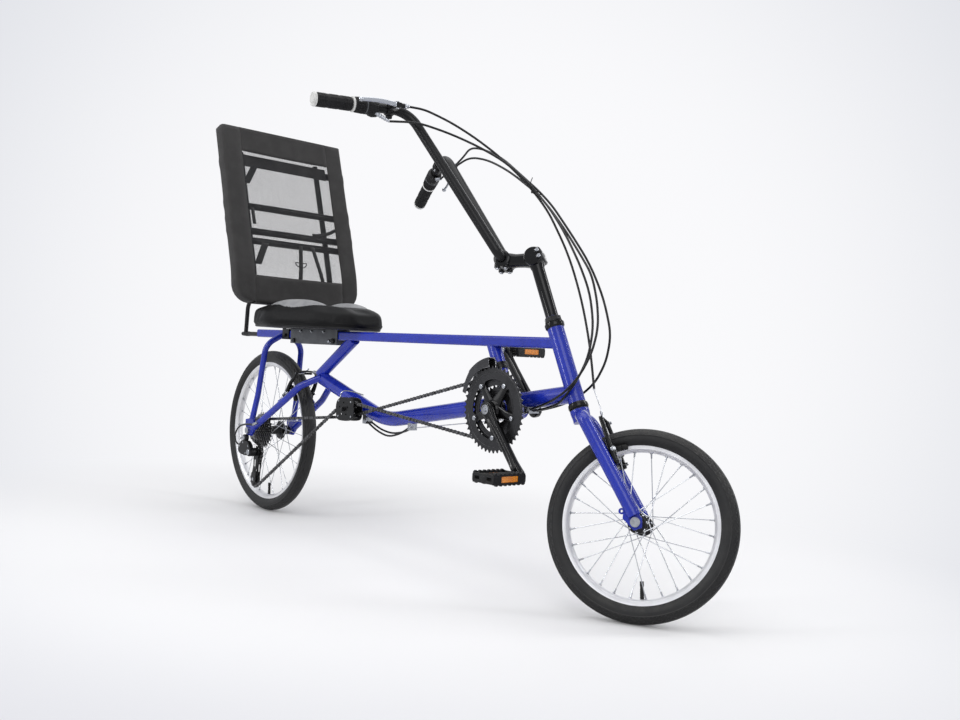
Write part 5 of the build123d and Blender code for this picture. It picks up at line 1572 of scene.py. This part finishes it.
def makeLevers():
    body, bright, blade = Shape(), Shape(), Shape()
    clamp = [(168.4, 11.15), (168.4, 14.0), (169.6, 15.0), (184.4, 15.0), (185.6, 14.0), (185.6, 11.15)]
    body.lathe(onGrip(0), gripWay, clamp, 36)
    # ears of the clamp below the bar, with their bolt
    for ears in ((-4.4, -0.8), (0.8, 4.4)):
        body.loft([ringAt(onGrip(177, t, -17.0), gripWay, gripUp, roundedBox(12, 9, 3.0)) for t in ears])
    bright.hexHead(onGrip(177, -4.4, -17.5), onGrip(177, -8.0, -17.5), 3.0)
    reach = []
    for ahead, side, high, above in bar["reach"]:
        reach.append(ringAt(onGrip(178, ahead, above), gripWay, gripUp, roundedBox(side, high, 3.4)))
    body.loft(reach)
    body.rod(onGrip(186, 37.5, 6), onGrip(194, 37.2, 6), 5.2, 20)
    bright.fluted(onGrip(194, 37.2, 6), gripWay,
                  [(0, 5.4, 0.0), (0.6, 5.8, 0.6), (4.4, 5.8, 0.6), (5.0, 5.2, 0.0)], 14)
    bright.fluted(onGrip(199.4, 37.1, 6), gripWay,
                  [(0, 3.9, 0.0), (0.4, 4.3, 0.5), (5.4, 4.2, 0.5), (6.6, 3.4, 0.0)], 12)
    for sign in (-1, 1):
        pivot = onGrip(176, 40, 6 + sign * 6.0)
        bright.knob(pivot, pivot + gripUp * (sign * 2.0), 4.4, 0.7, 18)
    line = smoothPath([onGrip(*place) for place in bar["blade"]], 5)
    sections = []
    for i, point in enumerate(line):
        share = i / (len(line) - 1)
        ahead = (line[min(i + 1, len(line) - 1)] - line[max(i - 1, 0)]).normalized()
        outline = roundedBox(7.4 - 2.2 * share, 10.4 - 1.6 * share, 2.4)
        sections.append(ringAt(point, ahead.cross(gripUp).normalized(), gripUp, outline))
    blade.loft(sections)
    ball = [(-5.6 * math.cos(math.pi * i / 10), max(0.01, 5.6 * math.sin(math.pi * i / 10)))
            for i in range(11)]
    blade.lathe(onGrip(88, 40.2, 8.2), gripWay, ball, 20, False)
    for shape in (body, bright, blade):
        shape.mirror()
    body.piece("leverBodies", "steering", "blackSatin", 40.0, "black_metal", "lever_bodies")
    blade.piece("leverBlades", "steering", "alloy", 45.0, "silver", "lever_blades")
    bright.piece("leverBolts", "steering", "boltSteel", 40.0, "steel")


makeGrips()
makeShifters()
makeLevers()


print("stem, headset and fork fittings")
stemHead = onAxis(790.0)
stemRun = (bar["clamp"] - stemHead).normalized()
stemUp = stemRun.cross(sideAxis).normalized()
if stemUp.z < 0:
    stemUp = -stemUp
headForm = {
    # turned parts as (along, radius), and where on the steering's axis each starts
    "quill": (652, ((-1.0, 12.6), (-1.0, 14.0), (116.0, 14.0), (119.0, 15.6), (126.0, 16.4), (137.0, 16.4),
                    (137.0, 12.6))),
    "upperCup": (626, ((-0.4, 14.6), (-0.4, 18.6), (1.6, 19.4), (3.0, 20.8), (8.6, 21.5), (10.6, 21.2),
                       (11.6, 20.0), (11.6, 14.6))),
    "lowerCup": (456, ((0.4, 14.6), (0.4, 18.6), (-1.4, 19.2), (-2.6, 20.6), (-9.4, 21.5), (-11.4, 20.6),
                       (-11.4, 14.6))),
    "race": (443.6, ((0, 14.6), (0, 19.6), (-1.4, 20.2), (-3.2, 19.4), (-3.2, 14.6))),
    "drumAt": 794.0,
    "drum": ((-22.0, 0.01), (-22.0, 16.6), (-21.2, 19.6), (-19.0, 21.0), (-3.4, 21.2), (-2.6, 19.8)),
    # share along the stem, width, height
    "arm": ((0.1, 34, 33), (0.35, 30, 29), (0.6, 29, 28), (0.88, 36, 33)),
}


def turnOnAxis(shape, part, segments):
    start, profile = headForm[part]
    shape.lathe(onAxis(start), steerAxis, profile, segments)


def makeStem():
    body, bright = Shape(), Shape()
    turnOnAxis(body, "quill", 36)
    drum, half = onAxis(headForm["drumAt"]), headForm["drum"]
    body.lathe(drum, sideAxis, [*half, *((-y, r) for y, r in reversed(half))], 56, False)
    length = (bar["clamp"] - stemHead).length
    sections = []
    for share, wide, high in headForm["arm"]:
        outline = roundedBox(wide, high, 10.5, 5)
        sections.append(ringAt(stemHead + stemRun * (length * share), sideAxis, stemUp, outline))
    body.loft(sections)
    for low, high in ((-25.0, -1.2), (1.2, 25.0)):
        profile = [(low, 11.2), (low, 16.6), (low + 1.6, 18.6), (high - 1.6, 18.6), (high, 16.6),
                   (high, 11.2)]
        body.lathe(bar["clamp"], sideAxis, profile, 44)
    # two bolts on each face of the drum, in raised seats, and those that close the clamp
    for degrees, sign in ((48, -1), (-8, -1), (48, 1), (-8, 1)):
        a = math.radians(degrees)
        seat = drum + (stemUp * math.sin(a) - stemRun * math.cos(a)) * 15.4 + aside(sign * 20.0)
        body.knob(seat - aside(sign * 40.0), seat + aside(sign * 4.0), 7.0, 0.9, 22)
        bright.knob(seat + aside(sign * 3.0), seat + aside(sign * 6.0), 4.2, 0.7, 18)
        bright.rod(seat + aside(sign * 6.05), seat + aside(sign * 6.1), 2.1, 6)
    for y in (-15.0, 15.0):
        for off in (-8.0, 11.0):
            seat = bar["clamp"] + stemRun * off - stemUp * 14.0 + aside(y)
            body.knob(seat + stemUp * 10, seat - stemUp * 6.0, 7.0, 1.2, 18)
            bright.knob(seat - stemUp * 5.0, seat - stemUp * 9.0, 4.2, 0.7, 16)
            bright.rod(seat - stemUp * 9.05, seat - stemUp * 9.1, 2.1, 6)
    body.piece("stemBody", "steering", "blackGloss", 40.0, "black_metal", "stem")
    bright.piece("stemBolts", "steering", "boltSteel", 40.0, "steel")


def makeHeadset():
    cups, nut = Shape(), Shape()
    turnOnAxis(cups, "upperCup", 48)
    turnOnAxis(cups, "lowerCup", 48)
    cups.piece("headsetCups", "frame", "blackGloss", 35.0, "black_metal", "headset_cups")
    nut.fluted(onAxis(638.6), steerAxis,
               [(0, 17.4, 0.0), (0.6, 18.4, 0.5), (3.6, 18.4, 0.5), (4.2, 17.6, 0.0)], 40)
    nut.rod(onAxis(642.8), onAxis(650.6), 18.0, 8)
    nut.rod(onAxis(650.6), onAxis(651.8), 17.4, 8, 15.2)
    turnOnAxis(nut, "race", 48)
    nut.piece("headsetNuts", "steering", "blackSatin", 35.0, "black_metal", "headset_locknut")


def makeForkFittings():
    paint, bright = Shape(), Shape()
    for sign in (-1, 1):
        # mudguard eyelet above and behind the slot, and the flat that ends the blade
        y, across = sign * 53.0, aside(sign)
        eyelet = [(-6.4, 2.6), (-6.4, 6.0), (-0.4, 6.0), (0.0, 5.4), (0.0, 2.6)]
        paint.lathe(onAxis(212, 33, y + sign * 3.2), across, eyelet, 20)
        paint.lathe(onAxis(203, 52, y), steerAxis, [(-5.0, 10.6), (4.0, 13.4), (8.0, 13.8), (9.0, 13.5)], 28,
                    False)
        washer = frontAxle + aside(y + sign * 3.0)
        bright.lathe(washer, across, [(0, 5.2), (0, 9.4), (1.2, 9.4), (1.2, 5.2)], 28)
    paint.lathe(onAxis(436), steerAxis, [(-10.0, 19.0), (-2.0, 20.2), (2.0, 20.2), (7.2, 19.4)], 40, False)
    paint.piece("forkLugs", "steering", "bluePaint", 40.0, "frame_paint")
    bright.piece("frontAxleWashers", "steering", "boltSteel", 35.0, "steel")


makeStem()
makeHeadset()
makeForkFittings()


print("rim brakes")
brakeForms = {
    "front": {
        "body": "steering",
        "pivot": onAxis(312, 48),
        "top": onAxis(404, 43),
        "pad": onAxis(335, 50),
        "axle": frontAxle,
        "carrier": onAxis(312, 31),
        "pivotY": 38.0,
        "topY": 32.0,
        "boss": (onAxis(312, 31, 48.4), onAxis(312, 42.4, 40.6)),
        "bossName": "brakeBosses",
    },
    "rear": {
        "body": "frame",
        "pivot": Vector((150, 0, 352)),
        "top": Vector((190, 0, 420)),
        "pad": rearAxle + Vector((158, 0, 121)).normalized() * 202.0,
        "axle": rearAxle,
        "carrier": Vector((136, 0, 330)),
        "pivotY": 40.0,
        "topY": 34.0,
        "boss": (Vector((140, 58, 334)), Vector((147, 42.6, 347))),
        "bossName": "stayBosses",
    },
}
padY = 21.5


def makeBrake(label, form):
    arm, bright, shoe, boot = Shape(), Shape(), Shape(), Shape()
    pivot, top, pad, axle = (form[key] for key in ("pivot", "top", "pad", "axle"))
    y0, y1 = form["pivotY"], form["topY"]
    up = (top - pivot).normalized()
    outer = up.cross(sideAxis).normalized()
    # away from the blade or stay that carries the pivot
    if outer.dot(pivot - form["carrier"]) < 0:
        outer = -outer
    radial = (pad - axle).normalized()
    around = radial.cross(sideAxis).normalized()

    def at(share, y, off=0.0):
        return pivot.lerp(top, share) - aside(y) + outer * off

    # forged arm: broad at the pivot, bowed outwards, narrow at the top: share up, y, width, thickness
    stations = ((-0.09, y0, 8, 9), (-0.04, y0, 13, 11), (0.04, y0 + 0.4, 14.4, 12),
                (0.16, y0 + 1.4, 12.6, 11.4), (0.4, y0 + 2.6, 11, 10), (0.65, y0 + 1.6, 9.6, 9),
                (0.86, y1 + 1.4, 9.2, 8.6), (0.97, y1, 9.6, 8.6), (1.04, y1 - 0.6, 7, 7.4))
    sections = []
    for share, y, wide, thick in stations:
        sections.append(ringAt(at(share, y), sideAxis, outer,
                               roundedBox(wide, thick, min(3.4, thick * 0.36))))
    arm.loft(sections)
    sleeve = [(0, 0.01), (0, 7.0), (1.2, 8.0), (11.4, 8.0), (12.6, 7.2), (12.6, 0.01)]
    arm.lathe(at(0, y0, -6.6), outer, sleeve, 28, False)
    bright.hexHead(at(0, y0, 6.0), at(0, y0, 11.4), 3.7)
    # spring on its base
    coil = [up * math.cos(tau * i / 16) + sideAxis * math.sin(tau * i / 16) for i in range(17)]
    for turns in range(3):
        middle = at(0, y0, -7.4 - turns * 1.9)
        bright.sweep([middle + out * 6.8 for out in coil], 0.8, 6, caps=False)
    bright.sweep([at(0.02, y0 - 5, -8), at(0.3, y0 - 5.6, -7.6), at(0.52, y0 - 4.4, -7)], 0.8, 6)
    # pad post with its washers and nut
    bright.rod(pad - aside(y0 + 9.5), pad - aside(padY + 4), 3.0, 14)
    bright.hexHead(pad - aside(y0 + 5.0), pad - aside(y0 + 10.0), 4.6)
    bright.knob(pad - aside(y0 - 5.4), pad - aside(y0 - 7.6), 6.4, 0.7, 20)
    bright.knob(pad - aside(y0 - 7.8), pad - aside(y0 - 10.6), 5.6, 0.7, 20)
    arm.knob(pad - aside(y0 - 5.0), pad - aside(y0 + 5.2), 7.2, 1.0, 22)
    # shoe that follows the rim, grooved on its face
    reach, rings = (pad - axle).length, []
    for i in range(27):
        angle = (i - 13) * 2.0 / reach
        out = radial * math.cos(angle) + around * math.sin(angle)
        ends = {0: 0.62, 1: 0.9}.get(min(i, 26 - i), 1.0)
        face = 10.2 - (1.6 if i in (6, 13, 20) else 0.0)
        centre = axle + out * (reach + 0.6) + aside(4.7 - padY - face / 2)
        outline = roundedBox(10.4 * ends, face * (0.8 + 0.2 * ends), 2.2, 2)
        rings.append(ringAt(centre, out, sideAxis, outline))
    shoe.loft(rings)
    for shape in (arm, shoe, bright):
        shape.mirror()
    # the cable's guide pipe from the right arm, and its boot across to the left arm's bolt
    here = top + up * 2.0
    bright.sweep([here - aside(y1 + 5), here + aside(y1 - 8)], 1.0, 8)
    bends = ((4 - y1, 0), (12 - y1, 0), (-14, 1.6), (-5, 8), (0, 18))
    bright.sweep(smoothPath([here + aside(y) + up * rise for y, rise in bends], 5), 2.4, 12)
    path = [here + aside(26 - y1 + i * 1.3) for i in range(19)]
    boot.sweep(path, [3.4 - (0.9 if i % 2 else 0.0) for i in range(19)], 14)
    seat = at(0.98, -y1, 4.0)
    bright.hexHead(seat, seat + outer * 4.6, 3.2)
    bright.knob(at(0.97, -y1, -6.4), at(0.97, -y1, -4.2), 4.4, 0.6, 16)
    arm.piece(label + "BrakeArms", form["body"], "blackGloss", 40.0, "black_metal", label + "_brake")
    shoe.piece(label + "BrakeShoes", form["body"], "gripRubber", 40.0, "grip_rubber")
    bright.piece(label + "BrakeBolts", form["body"], "boltSteel", 35.0, "steel")
    boot.piece(label + "BrakeBoot", form["body"], "gripRubber", 60.0, "grip_rubber")


def makeBosses(form):
    bosses = Shape()
    for sign in (-1, 1):
        start, end = (Vector((p.x, sign * p.y, p.z)) for p in form["boss"])
        bosses.knob(start, end, 6.0, 0.8, 20)
    bosses.piece(form["bossName"], form["body"], "bluePaint", 35.0, "frame_paint")


for label, form in brakeForms.items():
    makeBrake(label, form)
for form in brakeForms.values():
    makeBosses(form)


print("derailleurs and idler")
mechForm = {
    "knuckle": Vector((-4, 0, 219)),
    "cagePivot": Vector((20, 0, 178)),
    "coverAt": (-6, 190),
    "cover": ((-44, 178), (-24, 168), (14, 168), (28, 182), (14, 206), (-8, 213), (-34, 202)),
    "frontTop": Vector((983, 0, 527)),
    # front cage: inner radius, outer radius, reach of the bridges
    "frontCage": (92.6, 113.0, 1.9),
    "guard": ((452, 320), (470, 311), (520, 315), (531, 332), (527, 360), (512, 372), (468, 371), (449, 354)),
    "guardPosts": ((461, 322), (520, 324), (517, 362), (461, 362)),
    "hook": ((463, -62, 368), (465, -60, 382), (474, -56, 389), (512, -52, 388), (552, -50, 383)),
}


def makeRearDerailleur():
    body, cage, bright = Shape(), Shape(), Shape()
    # cage plates: rounded about both wheels, waisted between, with a slot
    ends = []
    for wheel, radius, start, waist in ((guideAt, 15.0, -20, (9.5, 138.0)),
                                        (tensionAt, 13.5, 170, (27.5, 136.0))):
        arc = [spinPoint(wheel, start + 220 * i / 11, radius, 0) for i in range(12)]
        ends += [(p.x, p.z) for p in arc] + [waist]
    slot = [(x, z + (16 if 0 < i < 9 else -16)) for i, (x, z) in enumerate(circle(3.6, 16, 17.6, 136))]
    loops = [ends, slot, *(circle(3.1, 14, wheel.x, wheel.z) for wheel in (guideAt, tensionAt))]
    for low, high in ((6.2, 8.2), (-8.2, -6.2)):
        cage.plate(loops, -high, -low, sidePlane(0, 0, engagedY), 0.3)
    for wheel in (guideAt, tensionAt):
        seat = wheel + aside(engagedY)
        bright.rod(seat + aside(-10.4), seat + aside(9.6), 3.0, 16)
        bright.knob(seat + aside(-8.4), seat + aside(-10.6), 5.0, 0.7, 18)
    # two plates of the slanted link, and the knuckles at its ends
    cx, cz = mechForm["coverAt"]
    for shrink, low, high in ((1.0, 77.0, 83.0), (0.86, 66.5, 72.0)):
        points = [(cx + (x - cx) * shrink, cz + (z - cz) * shrink) for x, z in mechForm["cover"]]
        body.plate([smoothOutline(points)], low, high, sidePlane(), 1.2)
    knuckle, pivot = mechForm["knuckle"], mechForm["cagePivot"]
    body.knob(knuckle + aside(-86.4), knuckle + aside(-73.6), 10.0, 1.6, 28)
    body.knob(pivot + aside(-83.2), pivot + aside(-58.0), 12.5, 2.4, 30)
    body.knob((-30, -82, 190), (-30, -66, 190), 7.5, 1.6, 22)
    for x, z in ((-34, 192), (-14, 204), (18, 196), (4, 174)):
        bright.knob((x, -83.0, z), (x, -84.2, z), 2.6, 0.5, 12)
    bright.knob(knuckle + aside(-86.2), knuckle + aside(-88.4), 6.2, 0.7, 22)
    bright.rod(knuckle + aside(-88.4), knuckle + aside(-88.6), 3.0, 6)
    cap = [(0, 0.01), (0, 8.0), (1.0, 8.6), (1.8, 7.6), (1.8, 4.2), (1.0, 3.4), (1.0, 0.01)]
    bright.lathe(pivot + aside(-83), -sideAxis, cap, 28, False)
    # cable adjuster at the back
    adjuster = [(-2.0, 3.4, 0.0), (-1.4, 4.2, 0.6), (5.0, 4.2, 0.6), (5.6, 3.4, 0.0)]
    bright.fluted((-46.6, -75.2, 192.2), (1, 0, -0.12), adjuster, 12)
    body.piece("rearDerailleur", "frame", "blackSatin", 40.0, "black_metal", "rear_derailleur")
    cage.piece("derailleurCage", "frame", "blackSatin", 35.0, "black_metal")
    bright.piece("derailleurBolts", "frame", "boltSteel", 35.0, "steel")


def makeFrontDerailleur():
    body, bright = Shape(), Shape()
    top = mechForm["frontTop"]
    run = (shell - top).normalized()
    middle = top.lerp(shell, 0.36)
    ahead = run.cross(sideAxis).normalized()
    if ahead.x > 0:
        ahead = -ahead
    band = [(-8.0, 16.1), (-8.0, 18.6), (-7.0, 19.4), (7.0, 19.4), (8.0, 18.6), (8.0, 16.1)]
    body.lathe(middle, run, band, 44)
    for offset in (-3.6, 3.6):
        ears = [middle + ahead * 19.0 + aside(offset + t) for t in (-1.5, 1.5)]
        body.loft([ringAt(ear, ahead, run, roundedBox(12, 13, 3.0)) for ear in ears])
    bolt = middle + ahead * 20.5
    bright.hexHead(bolt + aside(-5.2), bolt + aside(-9.4), 3.4)
    link = spinPoint(shell, 134, 106.05, 0)
    arms = ((link + Vector((-6, -33, 8)), middle + Vector((-2, -16, 3))),
            (link + Vector((5, -33, -3)), middle + Vector((7, -16, -8))))
    for start, end in arms:
        out = (end - start).normalized()
        side = out.cross(sideAxis).normalized()
        sections = []
        for t, wide in ((0, 13), (0.5, 9.4), (1, 13)):
            sections.append(ringAt(start.lerp(end, t), side, side.cross(out), roundedBox(wide, 5.4, 1.6, 2)))
        body.loft(sections)
    block = []
    for y, s in ((-38.5, 0.8), (-37.4, 1.0), (-30, 1.0), (-28, 0.84)):
        block.append(ringAt(link + Vector((0, y, 3)), (1, 0, 0), (0, 0, 1), roundedBox(17 * s, 18 * s, 4.0)))
    body.loft(block)
    for x, z in ((-5, 8), (5, -3)):
        bright.knob(link + Vector((x, -38.4, z)), link + Vector((x, -40.0, z)), 2.6, 0.4, 14)
    bright.knob(link + Vector((4, -28.4, -4)), link + Vector((4, -24.4, -4)), 3.4, 0.6, 16)
    for x in (0.4, 7.6):
        bright.rod(middle + Vector((x, -19.5, 6)), middle + Vector((x, -19.5, 15)), 1.6, 8)
    body.piece("frontDerailleur", "frame", "blackSatin", 40.0, "black_metal", "front_derailleur_body")
    bright.piece("frontDerailleurBolts", "frame", "boltSteel", 35.0, "steel")


def makeFrontCage():
    cage, (low, high, thick) = Shape(), mechForm["frontCage"]
    for y0, y1, bow in ((-60.6, -58.8, 1), (-40.4, -38.6, -1)):
        rings = []
        for i in range(25):
            share = i / 24
            a = math.radians(100 + 62 * share)
            inner = low + 3.0 * math.sin(math.pi * share) + 5.0 * max(0.0, share - 0.7)
            outer = high - 9.0 * max(0.0, share - 0.55) / 0.45
            flare = 0.48 * max(0.0, 0.2 - share) / 0.2 * bow
            places = ((inner, y0), ((inner + outer) / 2, y0 + flare), (outer, y0), (outer, y1), (inner, y1))
            rings.append([shell + polar(a, radius, y) for radius, y in places])
        cage.loft(rings)
    for start, stop, radius in ((100, 136, high), (156, 161, 104.5)):
        rings = []
        for i in range(13):
            a = math.radians(start + (stop - start) * i / 12)
            places = ((radius, -60.6), (radius + thick, -59.6), (radius + thick, -39.6), (radius, -38.6))
            rings.append([shell + polar(a, out, y) for out, y in places])
        cage.loft(rings)
    cage.piece("frontCage", "frame", "cageSteel", 35.0, "steel", "front_derailleur_cage")


def makeIdlerGuard():
    guards, bright = Shape(), Shape()
    loops = [smoothOutline(mechForm["guard"], 4), circle(4.2, 16, idlerAt.x, idlerAt.z)]
    for a in map(math.radians, (20, 92, 164, 236, 308)):
        loops.append(circle(2.6, 12, idlerAt.x + 19.5 * math.cos(a), idlerAt.z + 16.5 * math.sin(a)))
    for y in (-62.7, -36.3):
        guards.plate(loops, -1.1, 1.1, sidePlane(0, 0, y), 0.25)
    # posts that join the two guards, and the boss from the lower tube
    for x, z in mechForm["guardPosts"]:
        guards.knob((x, -37, z), (x, -62, z), 3.2, 0.5, 14)
        bright.knob((x, -63.7, z), (x, -65.0, z), 2.6, 0.4, 12)
    guards.knob(idlerAt + aside(-34.9), idlerAt + aside(-14), 9.0, 0.8, 28)
    guards.rod(idlerAt + aside(-69), idlerAt + aside(-30), 4.0, 20)
    guards.hexHead(idlerAt + aside(-63.9), idlerAt + aside(-71.6), 5.6)
    # wire hook that keeps the upper run of chain on the wheel
    bright.sweep(smoothPath(mechForm["hook"], 6), 1.5, 8)
    guards.piece("idlerGuards", "frame", "blackSatin", 35.0, "black_metal", "idler_bracket")
    bright.piece("idlerBolts", "frame", "boltSteel", 35.0, "steel")


makeRearDerailleur()
makeFrontDerailleur()
makeFrontCage()
makeIdlerGuard()


print("fittings")
fittings = {
    "side": 20.7,
    "boltsX": (182.0, 240.0, 304.0),
    "hinge": (94.0, (531.0, 561.0)),
    "slideEnd": Vector((-198.0, 0, 531.0)),
    "tieAt": Vector((1080.0, 0.0, 868.0)),
    # the end knob with its two grooves, as (along, radius)
    "knob": ((0, 0.01), (0, 4.8), (1.2, 6), (3.15, 6), (3.6, 5.2), (4.05, 6), (5.85, 6), (6.3, 5.2),
             (6.75, 6), (9, 6)),
}


def makeSeatFittings():
    bright, dark = Shape(), Shape()
    side, (hingeX, hingeZ) = fittings["side"], fittings["hinge"]
    # x, z, how far it stands out, radius, and bevel of a knob or none for a bolt
    rows = [(bright, x, 543.6, 4.2, 3.4, None) for x in fittings["boltsX"]]
    rows += [(bright, 336.0, 517.5, 6.0, 4.6, None), (dark, 353.0, 518.5, 5.0, 7.5, 1.4)]
    rows += [(dark, 146.0, 516.5, 4.0, 6.5, 1.2), *((dark, hingeX, z, 5.0, 5.0, None) for z in hingeZ)]
    for sign in (-1, 1):
        for shape, x, z, out, radius, bevel in rows:
            start, end = (x, sign * side, z), (x, sign * (side + out), z)
            if bevel:
                shape.knob(start, end, radius, bevel)
            else:
                shape.hexHead(start, end, radius)
    # knurled knob on the end of the slide rod
    end = fittings["slideEnd"]
    dark.lathe(end + Vector((-9, 0, 0)), (1, 0, 0), fittings["knob"], 24, False)
    for x in (14, 23, 32):
        dark.knob(end + Vector((x, 0, 0)), end + Vector((x + 2.5, 0, 0)), 7.7, 0.4)
    bright.piece("seatBolts", "frame", "boltSteel", 35.0, "steel")
    dark.piece("seatKnobs", "frame", "blackPlastic", 35.0, "plastic")


def makeCableTie():
    # a tie round the cables ahead of the head tube, its tail cut long
    tie, centre = Shape(), fittings["tieAt"]
    tie.sweep([centre + Vector((x, y, 0)) for x, y in circle(9.5, 24) + [(9.5, 0)]], 1.3, 6, caps=False)
    tie.box((-3.0, -2.2, -2.6), (3.0, 2.2, 2.6), Matrix.Translation(centre + Vector((-9, -5, 0))))
    tail = [centre + Vector(p) for p in ((-9, -5, 0), (-13, -10, 6), (-14, -14, 17), (-11, -17, 29))]
    tie.sweep(smoothPath(tail, 5), 1.0, 6)
    tie.piece("cableTie", "steering", "blackPlastic", 40.0, "plastic")


makeSeatFittings()
makeCableTie()


print("cables and carried-over finishes")
wireEnds = [turnSteering @ Vector(point) for point in ((1279, 0, 441), (1309, 0, 386))]
wireLow = [min(pair) - 5 for pair in zip(*wireEnds)]
wireHigh = [max(pair) + 5 for pair in zip(*wireEnds)]
makeCableFinish("frontBrakeCable", wireLow, wireHigh)
makeCableFinish("rearCables", (704, -9, 296), (1111.5, 9, 390))
makeCableFinish("frontShiftCable", (940, -60, 330), (1111.5, -10, 500))

# every carried-over CAD node gets its finish
nodeFinishes = {
    "bluePaint": ("head_tube", "top_tube", "lower_tube", "bottom_bracket_shell", "seat_strut", "seat_tube",
                  "chainstays", "seatstays", "rear_dropouts", "fork"),
    "blackSatin": ("seat_back_hinge", "seat_back_hoop", "seat_back_frame", "seat_back_stay", "handlebar"),
    "boltSteel": ("rear_axle", "front_axle", "crank_spindle", "cable_stops"),
    "polishedSteel": ("rear_spokes", "front_spokes"),
    "greyBracket": ("seat_bracket",),
    "frontBrakeCable": ("front_brake_cable",),
    "rearCables": ("rear_brake_cable", "rear_shift_cable"),
    "frontShiftCable": ("front_shift_cable",),
}
for finish, names in nodeFinishes.items():
    for name in names:
        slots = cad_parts[name].data.materials
        if not slots:
            slots.append(None)
        for index in range(len(slots)):
            slots[index] = finishes[finish]
